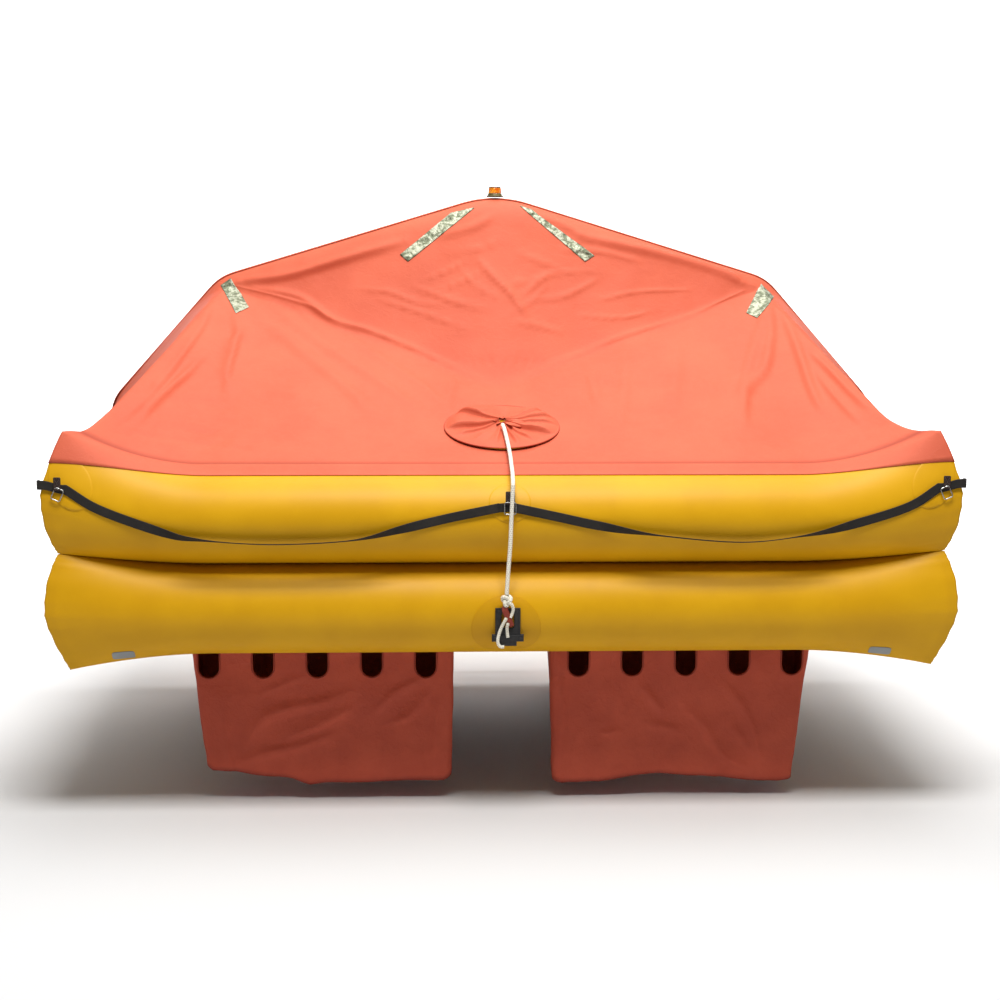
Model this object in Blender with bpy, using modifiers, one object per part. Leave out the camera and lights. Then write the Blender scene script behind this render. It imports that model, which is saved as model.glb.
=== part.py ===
"""Rectangular canopied life raft for about six persons, inflated, with its ballast bags hanging.

Frame: X to the right and +Y away from a viewer who stands at the front, Z up, in metres.
The origin is at the waterline, in the middle of the raft's plan.
The raft is one soft body with no hinges. Each sewn, glued or hung piece is its own closed solid.
"""
import math

import bmesh
import bpy
from mathutils import Matrix, Vector

# Buoyancy tubes, stacked, with mitred corners that swell at the seam
RAFT_WIDTH = 2.45
RAFT_DEPTH = 1.76
TUBE_RADIUS = 0.125
DRAUGHT = 0.10
AXIS_X = RAFT_WIDTH / 2 - TUBE_RADIUS
AXIS_Y = RAFT_DEPTH / 2 - TUBE_RADIUS
LOWER_AXIS_Z = TUBE_RADIUS - DRAUGHT
TUBE_GAP = 0.0004
UPPER_AXIS_Z = LOWER_AXIS_Z + 2 * TUBE_RADIUS + TUBE_GAP
CORNER_REACH = 0.30
CORNER_SWELL = 0.29
SEAM_REACH = 1.03
SEAM_INNER_REACH = 0.90
# How far the mitre seam is set in at its top or foot, in tube radii, and how bluntly
SEAM_FREE_SIDE = (0.42, 1.35)
SEAM_JOINED_SIDE = (0.27, 2.4)
LOWER_CORNER_LIFT = 0.0075
UPPER_CORNER_LIFT = LOWER_CORNER_LIFT + 2 * CORNER_SWELL * TUBE_RADIUS
TUBE_SIDES = 24
# Height of each tube's axis, and how far it lifts at the mitre seam
TUBE_LINES = {
    "lower": (LOWER_AXIS_Z, LOWER_CORNER_LIFT),
    "upper": (UPPER_AXIS_Z, UPPER_CORNER_LIFT),
}
# Shares of the corner's reach: 0 at the mitre seam, 1 where the swell ends, 2 at the middle of the leg
TUBE_SHARES = (2.0, 1.0, 0.6, 0.35, 0.15)
CANOPY_FRONT_SHARES = (2.0, 1.93, 1.85, 1.7, 1.5, 1.25, 1.0, 0.6, 0.35, 0.15)
CANOPY_SIDE_SHARES = (0.15, 0.35, 0.6, 1.0, 1.35, 1.7, 2.0)

# Canopy over one arch: its ridge in the plane Y = 0, as X and Z of apex, shoulder, knee and foot
RIDGE_CORNERS = ((0.0, 1.172), (0.852, 0.914), (1.196, 0.528), (1.196, 0.357))
# Radii of the rounding at the apex, shoulder and knee, of the ridge and of the arch's axis
RIDGE_BENDS = (0.35, 0.16, 0.12)
ARCH_BENDS = (0.36, 0.13, 0.13)
BEND_STEPS = 6
NORMAL_REACH = 0.004
ARCH_RADIUS = 0.070
ARCH_CLEARANCE = 0.0016
ARCH_FOOT_DROP = 0.07
ARCH_FOOT_CLEARANCE = 0.002
ARCH_FOOT_CUT_LENGTH = 0.50
CANOPY_THICKNESS = 0.003
CANOPY_SKIN_GAP = 0.0026
# Degrees up the upper tube where the hem is glued and where the cloth leaves the tube
FRONT_HEM_ANGLE = 72.0
SIDE_HEM_ANGLE = 32.0
CORNER_HEM_ANGLE = 31.0
FRONT_LEAVE_ANGLE = 93.0
CORNER_LEAVE_ANGLE = 102.0
SIDE_LEAVE_ANGLE = 40.0
LEAVE_STEP = 3.0
HEM_RISE = 0.019
HEM_ROWS = 6
RIDGE_WRAP_ANGLES = (58.0, 30.0, 0.0)
RIDGE_SPLIT = 0.0010
CREASE_Y = 0.33
CREASE_Z = 0.598
LOW_PANEL_SAG = 0.010
HIGH_PANEL_SAG = 0.012
# Rows of the side panels, as shares of the way from the arch's foot to its shoulder
SIDE_ROW_PLACES = (0.17, 0.235, 0.30, 0.65, 0.935)

# Gathered port sleeve on the front of the canopy
PORT_Y = -0.565
PORT_Z = 0.503
PORT_SLOPE = math.radians(22.0)
PORT_HALF_WIDTH = 0.160
PORT_HALF_HEIGHT = 0.125
PORT_CLEARANCE = 0.002
PORT_PLEATS = 14

# Entrance at the rear, with its door rolled up over it
DOOR_HALF_WIDTH = 0.40
DOOR_SILL_Z = 0.445
DOOR_HEAD_Z = 0.80
DOOR_CORNER = 0.12
DOOR_CUT_FROM_Y = 0.16
DOOR_CUT_LENGTH = 0.80
ROLL_RADIUS = 0.032
ROLL_HALF_LENGTH = 0.40
ROLL_Z = 0.836
ROLL_SAG = 0.012
ROLL_STAND_OFF = 0.010
ROLL_EASE = 0.08

# Gap between two pieces that are glued or sewn to each other
GLUE_GAP = 0.0006

# Floor, inside the lower tube
FLOOR_TOP_Z = -0.060
FLOOR_THICKNESS = 0.006
FLOOR_CORNER = 0.16
FLOOR_EDGE_GAP = 0.004

# Ballast bags under the floor
BAG_CENTRE_X = 0.512
BAG_TOP_WIDTH = 0.750
BAG_BOTTOM_WIDTH = 0.690
BAG_BOTTOM_SHIFT = 0.018
BAG_FRONT_Y = 0.652
BAG_TOP_DEPTH = 0.19
BAG_BOTTOM_DEPTH = 0.13
BAG_TOP_Z = FLOOR_TOP_Z - FLOOR_THICKNESS - GLUE_GAP
BAG_BOTTOM_Z = -0.508
BAG_WALL = 0.003
SLOT_FIRST_X = 0.217
SLOT_PITCH = 0.153
SLOT_COUNT = 5
SLOT_WIDTH = 0.058
SLOT_TOP_Z = -0.105
SLOT_BOTTOM_Z = -0.200
SLOT_CUT_REACH = 0.030
REAR_BAG_SHIFT = 0.085

# Lifeline of flat webbing, hung in slack spans between tabs on the upper tube
WEB_WIDTH = 0.025
WEB_THICKNESS = 0.0026
WEB_STAND_OFF = 0.0046
WEB_LOW_Z = 0.224
TAB_WIDTH = 0.030
TAB_HEIGHT = 0.064
TAB_THICKNESS = 0.004
TAB_STAND_OFF = 0.0090
MIDDLE_TAB_Z = 0.332
CORNER_TAB_Z = 0.372
CORNER_TAB_X = 1.183
CORNER_TAB_STAND_OFF = 0.0085
SPAN_END_GAP = 0.019
MIDDLE_SPAN_DROP = 0.006
SPAN_ROLL = 78.0
SIDE_SPAN_HALF_LENGTH = 0.832
REAR_TAB_X = 0.26

# Towing bracket, its glued patch and the painter line at the front
TOW_X = 0.004
TOW_Z = -0.004
TOW_PATCH_RADIUS = 0.093
TOW_PATCH_Z = -0.012
PATCH_THICKNESS = 0.0020
PATCH_STAND_OFF = 0.0014
TOW_PLATE_WIDTH = 0.068
TOW_PLATE_HEIGHT = 0.104
TOW_PLATE_THICKNESS = 0.006
TOW_BAR_WIDTH = 0.086
TOW_BAR_HEIGHT = 0.020
TOW_FOOT_WIDTH = 0.048
TOW_FOOT_HEIGHT = 0.012
TOW_SLOT_WIDTH = 0.034
TOW_SLOT_HEIGHT = 0.040
TOW_SLOT_CORNER = 0.006
TOW_SLOT_RISE = 0.018
LINE_DIAMETER = 0.011
LINE_REACH = RAFT_DEPTH / 2 + TAB_STAND_OFF + TAB_THICKNESS / 2 + LINE_DIAMETER / 2 + 0.001
KNOT_RADIUS = 0.015
KNOT_Z = 0.071
TOGGLE_SIZE = (0.017, 0.010, 0.056)
TOGGLE_X = 0.006

# Drogue plate, rear lower tube
DROGUE_X = 0.62
DROGUE_WIDTH = 0.110
DROGUE_HEIGHT = 0.080
DROGUE_THICKNESS = 0.008

# Lamp on the apex
LAMP_BASE_RADIUS = 0.026
LAMP_BASE_HEIGHT = 0.011
LAMP_DOME_RADIUS = 0.020
LAMP_DOME_SKIRT = 0.004
LAMP_DOME_RISE = 0.017

# Gas cylinder under the floor, its head and straps, and the righting strap
GAS_RADIUS = 0.055
GAS_LENGTH = 0.46
GAS_X = 0.50
GAS_Y = -0.20
GAS_DROP = 0.0035
GAS_STRAP_WIDTH = 0.050
GAS_STRAP_THICKNESS = 0.0025
GAS_STRAP_CLEARANCE = 0.0012
GAS_STRAP_FLANGE = 0.030
GAS_STRAP_PLACE = 0.24
RIGHTING_WIDTH = 0.050
RIGHTING_HALF_LENGTH = 0.96
RIGHTING_Y = 0.12
RIGHTING_THICKNESS = 0.0025
RIGHTING_SAG = 0.020

# Boarding ladder and handles at the rear
LADDER_HALF_WIDTH = 0.17
LADDER_TOP_Z = 0.300
LADDER_BOTTOM_Z = -0.400
LADDER_WEB = 0.030
LADDER_THICKNESS = 0.004
LADDER_RUNGS = 3
LADDER_STAND_OFF = 0.004
HANDLE_X = 0.50
HANDLE_HALF_SPAN = 0.085
HANDLE_ANGLE = 38.0
HANDLE_BOW = 0.040
HANDLE_STAND_OFF = 0.0036
HANDLE_THICKNESS = 0.003

# Valves on the side tubes: name, which tube, the side it is on, place along the side, degrees up the tube
VALVES = (
    ("topping_up_valve_lower", "lower", "left", 0.42, 12.0),
    ("topping_up_valve_upper", "upper", "left", 0.36, 17.0),
    ("relief_valve_lower", "lower", "right", 0.42, 12.0),
    ("relief_valve_upper", "upper", "right", 0.36, 17.0),
)
VALVE_RADIUS = 0.024
VALVE_HEIGHT = 0.014
VALVE_STAND_OFF = 0.0010

# Material looks: colour, roughness, metallic
LOOKS = {
    "tube_fabric": ((0.62, 0.36, 0.015), 0.42, 0.0),
    "canopy_fabric": ((0.90, 0.17, 0.09), 0.55, 0.0),
    "floor_fabric": ((0.035, 0.035, 0.038), 0.60, 0.0),
    "bag_fabric": ((0.30, 0.045, 0.018), 0.65, 0.0),
    "webbing": ((0.018, 0.017, 0.016), 0.80, 0.0),
    "white_rope": ((0.80, 0.78, 0.72), 0.75, 0.0),
    "red_webbing": ((0.22, 0.030, 0.018), 0.70, 0.0),
    "lamp_amber": ((0.75, 0.32, 0.03), 0.18, 0.0),
    "olive_plastic": ((0.10, 0.09, 0.03), 0.45, 0.0),
    "black_plastic": ((0.022, 0.022, 0.024), 0.45, 0.0),
    "painted_steel": ((0.25, 0.26, 0.27), 0.40, 0.6),
}


def clear_scene():
    """Remove whatever the open file holds."""
    for obj in list(bpy.data.objects):
        bpy.data.objects.remove(obj, do_unlink=True)


def make_collections():
    """Make one collection for the raft and one for the cutters."""
    parts = bpy.data.collections.new("life_raft")
    cutters = bpy.data.collections.new("life_raft_cutters")
    for collection in (parts, cutters):
        bpy.context.scene.collection.children.link(collection)
    return parts, cutters


def make_material(name):
    """Make a Principled material from the table of looks."""
    colour, roughness, metallic = LOOKS[name]
    material = bpy.data.materials.new(name)
    material.use_nodes = True
    shader = material.node_tree.nodes["Principled BSDF"]
    shader.inputs["Base Color"].default_value = (*colour, 1.0)
    shader.inputs["Roughness"].default_value = roughness
    shader.inputs["Metallic"].default_value = metallic
    material.diffuse_color = (*colour, 1.0)
    return material


clear_scene()
PARTS, CUTTERS = make_collections()
MATERIALS = {name: make_material(name) for name in LOOKS}


def add_object(name, data, look):
    """Link a mesh or curve to the raft's collection with its material."""
    obj = bpy.data.objects.new(name, data)
    PARTS.objects.link(obj)
    data.materials.append(MATERIALS[look])
    return obj


def add_cutter(name, data):
    """Link a cutter, which is drawn as wire and never rendered."""
    obj = bpy.data.objects.new(name, data)
    CUTTERS.objects.link(obj)
    obj.hide_render = True
    obj.display_type = "WIRE"
    return obj


def mesh_from_bmesh(name, bm, smooth_degrees=35.0):
    """Turn a bmesh into a mesh, shaded smooth up to an angle."""
    mesh = bpy.data.meshes.new(name)
    bm.to_mesh(mesh)
    bm.free()
    mesh.shade_smooth()
    mesh.set_sharp_from_angle(angle=math.radians(smooth_degrees))
    return mesh


def loft_mesh(name, rings, closed=False, caps=False):
    """Join equal rows of points with quads. Rows that meet in a point are merged there."""
    bm = bmesh.new()
    rows = [[bm.verts.new(point) for point in ring] for ring in rings]
    count = len(rings[0])
    last = count if closed else count - 1
    for row, following in zip(rows, rows[1:]):
        for index in range(last):
            after = (index + 1) % count
            bm.faces.new((row[index], following[index], following[after], row[after]))
    if caps:
        bm.faces.new(rows[0])
        bm.faces.new(list(reversed(rows[-1])))
    bmesh.ops.remove_doubles(bm, verts=bm.verts, dist=0.00005)
    return mesh_from_bmesh(name, bm)


def face_out(mesh):
    """Turn a closed mesh's faces outwards and split them, because a twisted quad has no one shape."""
    bm = bmesh.new()
    bm.from_mesh(mesh)
    bmesh.ops.recalc_face_normals(bm, faces=bm.faces)
    bmesh.ops.triangulate(bm, faces=bm.faces)
    bm.to_mesh(mesh)
    bm.free()
    return mesh


def flip_to_rear(mesh):
    """Turn a mesh of the raft's front into its mirror image at the rear."""
    mesh.transform(Matrix.Diagonal((1, -1, 1, 1)))
    mesh.flip_normals()


def add_mirror(obj, axes):
    """Mirror a half or a quarter that is open at the planes through the origin."""
    modifier = obj.modifiers.new("mirror", "MIRROR")
    modifier.use_axis = [axis in axes for axis in "XYZ"]
    modifier.use_mirror_merge = True
    modifier.merge_threshold = 0.0001
    return modifier


def add_solidify(obj, thickness, offset=1.0):
    """Thicken an open surface along its normals."""
    modifier = obj.modifiers.new("thickness", "SOLIDIFY")
    modifier.thickness = thickness
    modifier.offset = offset
    return modifier


def add_bevel(obj, width, segments=2):
    """Round the sharp edges of a closed solid."""
    modifier = obj.modifiers.new("rounding", "BEVEL")
    modifier.width = width
    modifier.segments = segments
    modifier.limit_method = "ANGLE"
    return modifier


def add_cut(obj, cutter):
    """Subtract a cutter."""
    modifier = obj.modifiers.new("cut", "BOOLEAN")
    modifier.operation = "DIFFERENCE"
    modifier.object = cutter
    modifier.solver = "EXACT"
    return modifier


def curve_data(name, points, bevel_depth=0.0, resolution=3, cyclic=False):
    """Make a 3D poly curve along the points, with a round section and filled caps."""
    curve = bpy.data.curves.new(name, "CURVE")
    curve.dimensions = "3D"
    spline = curve.splines.new("POLY")
    spline.points.add(len(points) - 1)
    for target, point in zip(spline.points, points):
        target.co = (*point, 1.0)
    spline.use_cyclic_u = cyclic
    curve.bevel_depth = bevel_depth
    curve.bevel_resolution = resolution
    curve.use_fill_caps = True
    return curve


def outline_data(name, outlines, thickness):
    """Make a filled 2D curve of closed outlines, the later ones being holes, with a thickness."""
    curve = bpy.data.curves.new(name, "CURVE")
    curve.dimensions = "2D"
    curve.fill_mode = "BOTH"
    curve.extrude = thickness / 2
    for outline in outlines:
        spline = curve.splines.new("POLY")
        spline.points.add(len(outline) - 1)
        for target, (across, along) in zip(spline.points, outline):
            target.co = (across, along, 0.0, 1.0)
        spline.use_cyclic_u = True
    return curve


def curve_to_mesh(obj):
    """Replace a curve object by its welded mesh, so that it can be cut."""
    bpy.context.view_layer.update()
    depsgraph = bpy.context.evaluated_depsgraph_get()
    mesh = bpy.data.meshes.new_from_object(obj.evaluated_get(depsgraph))
    bm = bmesh.new()
    bm.from_mesh(mesh)
    bmesh.ops.remove_doubles(bm, verts=bm.verts, dist=0.00005)
    bmesh.ops.recalc_face_normals(bm, faces=bm.faces)
    bm.to_mesh(mesh)
    bm.free()
    name = obj.name
    is_cutter = obj.hide_render
    place = obj.matrix_world.copy()
    home = obj.users_collection[0]
    bpy.data.objects.remove(obj, do_unlink=True)
    solid = bpy.data.objects.new(name, mesh)
    home.objects.link(solid)
    solid.matrix_world = place
    solid.hide_render = is_cutter
    solid.display_type = "WIRE" if is_cutter else "TEXTURED"
    return solid


def rounded_rectangle(half_width, half_height, radius, steps=4):
    """List the corner points of a rectangle with round corners, counter-clockwise."""
    points = []
    for quarter, (sign_x, sign_y) in enumerate(((1, 1), (-1, 1), (-1, -1), (1, -1))):
        centre_x = sign_x * (half_width - radius)
        centre_y = sign_y * (half_height - radius)
        for step in range(steps + 1):
            angle = math.pi / 2 * (quarter + step / steps)
            points.append((centre_x + radius * math.cos(angle), centre_y + radius * math.sin(angle)))
    return points


def mix(start, end, share):
    """Return the value or point at a share of the way from start to end."""
    return start + (end - start) * share


def ease(share):
    """Return a smooth step of a share that is first held between 0 and 1."""
    held = min(1.0, max(0.0, share))
    return held * held * (3 - 2 * held)


def seam_offset(tube, angle, grow):
    """Return the outward and upward offset of the mitre seam from the tube's axis.

    The outer half is a pointed arch, set in further on the side that the other tube leaves free,
    and the inner half is an ellipse.
    """
    height = math.sin(angle)
    reach = math.cos(angle)
    is_free = height > 0 if tube == "upper" else height < 0
    set_in, bluntness = SEAM_FREE_SIDE if is_free else SEAM_JOINED_SIDE
    peak = SEAM_REACH - set_in
    if reach >= 0:
        outward = SEAM_REACH - set_in * abs(height) ** bluntness
    else:
        outward = peak + (peak + SEAM_INNER_REACH) * reach
    upward = (1 + CORNER_SWELL) * height
    return TUBE_RADIUS * outward + grow * reach, TUBE_RADIUS * upward + grow * height


def tube_point(tube, leg, share, angle_degrees, grow=0.0):
    """Return a point on a tube's skin, in the quarter where X is positive and Y is negative.

    The leg is "front" or "side". The share is 0 at the mitre seam and 2 at the leg's middle.
    """
    angle = math.radians(angle_degrees)
    axis_z, lift = TUBE_LINES[tube]
    seam_out, seam_up = seam_offset(tube, angle, grow)
    fade = max(0.0, 1 - share) ** 1.8
    outward = mix((TUBE_RADIUS + grow) * math.cos(angle), seam_out, fade)
    upward = mix((TUBE_RADIUS + grow) * math.sin(angle), seam_up, fade)
    axis_along = AXIS_X if leg == "front" else AXIS_Y
    swell_end = axis_along - CORNER_REACH
    if share <= 1:
        along = mix(axis_along + seam_out, swell_end, share)
    else:
        along = mix(swell_end, 0.0, share - 1)
    height = axis_z + lift * fade + upward
    if leg == "front":
        return Vector((along, -(AXIS_Y + outward), height))
    return Vector((AXIS_X + outward, -along, height))


def share_along(tube, leg, along, angle_degrees):
    """Return the share at which a point of a tube's skin lies at a distance along its leg."""
    seam_out, _ = seam_offset(tube, math.radians(angle_degrees), 0.0)
    axis_along = AXIS_X if leg == "front" else AXIS_Y
    swell_end = axis_along - CORNER_REACH
    if along > swell_end:
        return (axis_along + seam_out - along) / (axis_along + seam_out - swell_end)
    return 2 - along / swell_end


def skin_point(tube, side, along, angle_degrees, grow):
    """Return a point near a tube's skin on any side: front, rear, left or right."""
    leg = "front" if side in ("front", "rear") else "side"
    share = share_along(tube, leg, abs(along), angle_degrees)
    point = tube_point(tube, leg, share, angle_degrees, grow)
    if leg == "front":
        return Vector((math.copysign(point.x, along), point.y if side == "front" else -point.y, point.z))
    return Vector((point.x if side == "right" else -point.x, math.copysign(point.y, along), point.z))


def build_tube(name, tube):
    """Build a buoyancy tube as a quarter ring with its mitred corner, mirrored twice."""
    angles = [index * 360 / TUBE_SIDES for index in range(TUBE_SIDES)]
    stations = [("front", share) for share in TUBE_SHARES] + [("side", 0.0)]
    stations += [("side", share) for share in reversed(TUBE_SHARES)]
    rings = [[tube_point(tube, leg, share, angle) for angle in angles] for leg, share in stations]
    obj = add_object(name, loft_mesh(name, rings, closed=True), "tube_fabric")
    add_mirror(obj, "XY")


def build_floor():
    """Build the floor panel between the lower tubes."""
    rise = LOWER_AXIS_Z - (FLOOR_TOP_Z - FLOOR_THICKNESS / 2)
    tube_reach = math.sqrt(TUBE_RADIUS ** 2 - rise ** 2)
    half_width = AXIS_X - tube_reach - FLOOR_EDGE_GAP
    half_depth = AXIS_Y - tube_reach - FLOOR_EDGE_GAP
    outline = rounded_rectangle(half_width, half_depth, FLOOR_CORNER, 5)
    obj = add_object("floor", outline_data("floor", [outline], FLOOR_THICKNESS), "floor_fabric")
    obj.location.z = FLOOR_TOP_Z - FLOOR_THICKNESS / 2


def mirrored_corners():
    """Return the ridge's corners from the left foot over the apex to the right foot, as X and Z."""
    right = [Vector(corner) for corner in RIDGE_CORNERS]
    return [Vector((-corner.x, corner.y)) for corner in reversed(right[1:])] + right


def mirrored_bends(bends):
    """Return the radii for those corners, in the same order."""
    return (*reversed(bends[1:]), *bends)


def filleted(points, radii, steps):
    """Round the inner corners of a flat polyline with arcs."""
    rounded = [points[0]]
    for before, corner, after, radius in zip(points, points[1:], points[2:], radii):
        back = (before - corner).normalized()
        ahead = (after - corner).normalized()
        half = back.angle(ahead) / 2
        reach = radius / math.tan(half)
        centre = corner + (back + ahead).normalized() * (radius / math.sin(half))
        start = corner + back * reach - centre
        sweep = math.pi - 2 * half
        side = 1 if start.x * ahead.y - start.y * ahead.x > 0 else -1
        for step in range(steps + 1):
            turn = Matrix.Rotation(side * sweep * step / steps, 2)
            rounded.append(centre + turn @ start)
    rounded.append(points[-1])
    return rounded


def offset_corners(points, distance):
    """Move a flat polyline to the right of its direction, corner by corner."""
    directions = [(end - start).normalized() for start, end in zip(points, points[1:])]
    rights = [Vector((direction.y, -direction.x)) for direction in directions]
    before = [rights[0], *rights]
    after = [*rights, rights[-1]]
    return [point + (one + other) * (distance / (1 + one.dot(other)))
            for point, one, other in zip(points, before, after)]


class RidgePath:
    """The canopy's inner ridge on the right half, measured from the apex."""

    def __init__(self):
        """Round the ridge's corners and measure the distance to each point."""
        rounded = filleted(mirrored_corners(), mirrored_bends(RIDGE_BENDS), BEND_STEPS)
        lengths = [0.0]
        for start, end in zip(rounded, rounded[1:]):
            lengths.append(lengths[-1] + (end - start).length)
        self.points = rounded
        self.distances = [length - lengths[-1] / 2 for length in lengths]
        shoulder = Vector(RIDGE_CORNERS[1])
        near = min(range(len(rounded)), key=lambda index: (rounded[index] - shoulder).length)
        self.shoulder_distance = self.distances[near]
        self.foot_distance = self.distances[-1]

    def point(self, distance):
        """Return the point at a distance from the apex, as X and Z."""
        spans = zip(self.points, self.points[1:], self.distances, self.distances[1:])
        for start, end, begin, finish in spans:
            if distance <= finish:
                return mix(start, end, (distance - begin) / (finish - begin))
        return self.points[-1]

    def lean(self, distance):
        """Return the outward direction there, square to the ridge."""
        along = self.point(distance + NORMAL_REACH) - self.point(distance - NORMAL_REACH)
        return Vector((-along.y, along.x)).normalized()


RIDGE = RidgePath()
APEX_Z = RIDGE.point(0.0).y


def build_arch():
    """Build the inflated arch tube, cut at its feet to sit on the side tubes."""
    corners = offset_corners(mirrored_corners(), ARCH_RADIUS + ARCH_CLEARANCE)
    for foot in (corners[0], corners[-1]):
        foot.y -= ARCH_FOOT_DROP
    flat = filleted(corners, mirrored_bends(ARCH_BENDS), BEND_STEPS)
    points = [(point.x, 0.0, point.y) for point in flat]
    arch = add_object("arch_tube", curve_data("arch_tube", points, ARCH_RADIUS, 4), "tube_fabric")
    arch = curve_to_mesh(arch)
    for side, sign in (("left", -1), ("right", 1)):
        place = Matrix.Translation((sign * AXIS_X, 0, UPPER_AXIS_Z)) @ Matrix.Rotation(math.pi / 2, 4, "X")
        radius = TUBE_RADIUS + ARCH_FOOT_CLEARANCE
        bm = bmesh.new()
        bmesh.ops.create_cone(bm, cap_ends=True, segments=TUBE_SIDES, radius1=radius, radius2=radius,
                              depth=ARCH_FOOT_CUT_LENGTH, matrix=place)
        name = f"arch_foot_cutter_{side}"
        add_cut(arch, add_cutter(name, mesh_from_bmesh(name, bm)))


def ridge_rows(distance, wrap_share=1.0):
    """Return the points of the cloth wrapped over the arch, at a distance from the apex."""
    point = RIDGE.point(distance)
    lean = RIDGE.lean(distance)
    radius = ARCH_RADIUS + ARCH_CLEARANCE
    rows = []
    for wrap_degrees in RIDGE_WRAP_ANGLES:
        angle = math.radians(wrap_degrees) * wrap_share
        drop = radius * (1 - math.cos(angle))
        depth = radius * math.sin(angle) + RIDGE_SPLIT
        rows.append(Vector((point.x - lean.x * drop, -depth, point.y - lean.y * drop)))
    return rows


def hem_angles(leg, share):
    """Return the angles up the tube of the cloth's glued strip, from the hem to where it leaves the tube."""
    near_corner = max(0.0, 1 - share)
    if leg == "front":
        hem = mix(FRONT_HEM_ANGLE, CORNER_HEM_ANGLE, near_corner ** 1.6)
        leave = mix(FRONT_LEAVE_ANGLE, CORNER_LEAVE_ANGLE, near_corner ** 1.5)
    else:
        hem = mix(SIDE_HEM_ANGLE, CORNER_HEM_ANGLE, near_corner ** 1.2)
        leave = mix(CORNER_LEAVE_ANGLE, SIDE_LEAVE_ANGLE, ease(share / 1.6))
    glued_to = min(90.0, leave - LEAVE_STEP)
    return [mix(hem, glued_to, row / (HEM_ROWS - 1)) for row in range(HEM_ROWS)] + [leave]


def front_column(start, corner_x):
    """Return the points above the hem of a front column, up to the ridge."""
    across = start.x / corner_x
    rows = ridge_rows(across * RIDGE.shoulder_distance)
    crease = mix(Vector((0, -CREASE_Y, CREASE_Z)), ridge_rows(RIDGE.shoulder_distance)[0], across)
    slack = 1 - across
    points = []
    for part in (1 / 3, 2 / 3):
        low = mix(start, crease, part)
        low.z -= LOW_PANEL_SAG * slack * math.sin(math.pi * part)
        points.append(low)
    points.append(crease)
    for part in (1 / 3, 2 / 3):
        high = mix(crease, rows[0], part)
        bow = HIGH_PANEL_SAG * slack * math.sin(math.pi * part)
        points.append(high + Vector((0, bow, -bow)))
    return points + rows


def side_column(start, corner_y):
    """Return the points above the hem of a side column, up to the arch's shoulder."""
    across = min(1.0, abs(start.y) / corner_y)
    rows = ridge_rows(RIDGE.shoulder_distance, across)
    foot, shoulder = RIDGE.point(RIDGE.foot_distance), RIDGE.point(RIDGE.shoulder_distance)
    points = []
    for part in SIDE_ROW_PLACES:
        bow = RIDGE.point(mix(RIDGE.foot_distance, RIDGE.shoulder_distance, part)) - mix(foot, shoulder, part)
        bow *= 1 - ease(across)
        points.append(mix(start, rows[0], part) + Vector((bow.x, 0, bow.y)))
    return points + rows


def canopy_columns():
    """Return the canopy's columns of points, from the front centre round the corner to the side centre."""
    stations = [("front", share) for share in CANOPY_FRONT_SHARES] + [("side", 0.0)]
    stations += [("side", share) for share in CANOPY_SIDE_SHARES]
    corner = tube_point("upper", "side", 0.0, CORNER_LEAVE_ANGLE, CANOPY_SKIN_GAP)
    columns = []
    for leg, share in stations:
        angles = hem_angles(leg, share)
        hem = [tube_point("upper", leg, share, angle, CANOPY_SKIN_GAP) for angle in angles]
        if leg == "front":
            hem[-1].z += HEM_RISE * min(1.0, share)
            columns.append(hem + front_column(hem[-1], corner.x))
        else:
            if share == 2.0:
                hem = [point + Vector((0, -RIDGE_SPLIT, 0)) for point in hem]
            columns.append(hem + side_column(hem[-1], abs(corner.y)))
    return columns


def build_canopy(name, rear):
    """Build one half of the canopy, hem to ridge, as a thin shell with its opening."""
    mesh = loft_mesh(name, canopy_columns())
    if rear:
        flip_to_rear(mesh)
    obj = add_object(name, mesh, "canopy_fabric")
    add_mirror(obj, "X")
    add_solidify(obj, CANOPY_THICKNESS)
    return obj


def cut_port(canopy):
    """Cut the port's hole through the front of the canopy, square to its slope."""
    bm = bmesh.new()
    bmesh.ops.create_cone(bm, cap_ends=True, segments=32, radius1=1, radius2=1, depth=0.16)
    bmesh.ops.transform(
        bm, verts=bm.verts,
        matrix=Matrix.Diagonal((PORT_HALF_WIDTH, PORT_HALF_HEIGHT, 1, 1)),
    )
    cutter = add_cutter("port_cutter", mesh_from_bmesh("port_cutter", bm))
    cutter.location = (0, PORT_Y, PORT_Z)
    cutter.rotation_euler.x = PORT_SLOPE
    add_cut(canopy, cutter)


def build_port_sleeve():
    """Build the sleeve in the port, drawn shut: a pleated dish with its tied neck in the middle."""
    rings = []
    # Columns: share of the port's radius, height above the rim, depth of the pleats
    profile = ((1.0, 0.000, 0.000), (0.86, 0.003, 0.002), (0.60, 0.006, 0.004), (0.34, 0.009, 0.005),
               (0.18, 0.012, 0.004), (0.10, 0.018, 0.002))
    steps = PORT_PLEATS * 4
    for share, height, pleat in profile:
        ring = []
        for index in range(steps):
            angle = 2 * math.pi * index / steps
            wave = math.cos(angle * PORT_PLEATS) * pleat
            ring.append(Vector((
                (PORT_HALF_WIDTH - PORT_CLEARANCE) * share * math.cos(angle),
                (PORT_HALF_HEIGHT - PORT_CLEARANCE) * share * math.sin(angle),
                height + wave,
            )))
        rings.append(ring)
    centre = Vector((0, 0, profile[-1][1] - 0.004))
    rings.append([centre] * steps)
    mesh = loft_mesh("port_sleeve", list(reversed(rings)), closed=True)
    obj = add_object("port_sleeve", mesh, "canopy_fabric")
    obj.location = (0, PORT_Y, PORT_Z + 0.001)
    obj.rotation_euler.x = PORT_SLOPE
    add_solidify(obj, CANOPY_THICKNESS, -1.0)


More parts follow.
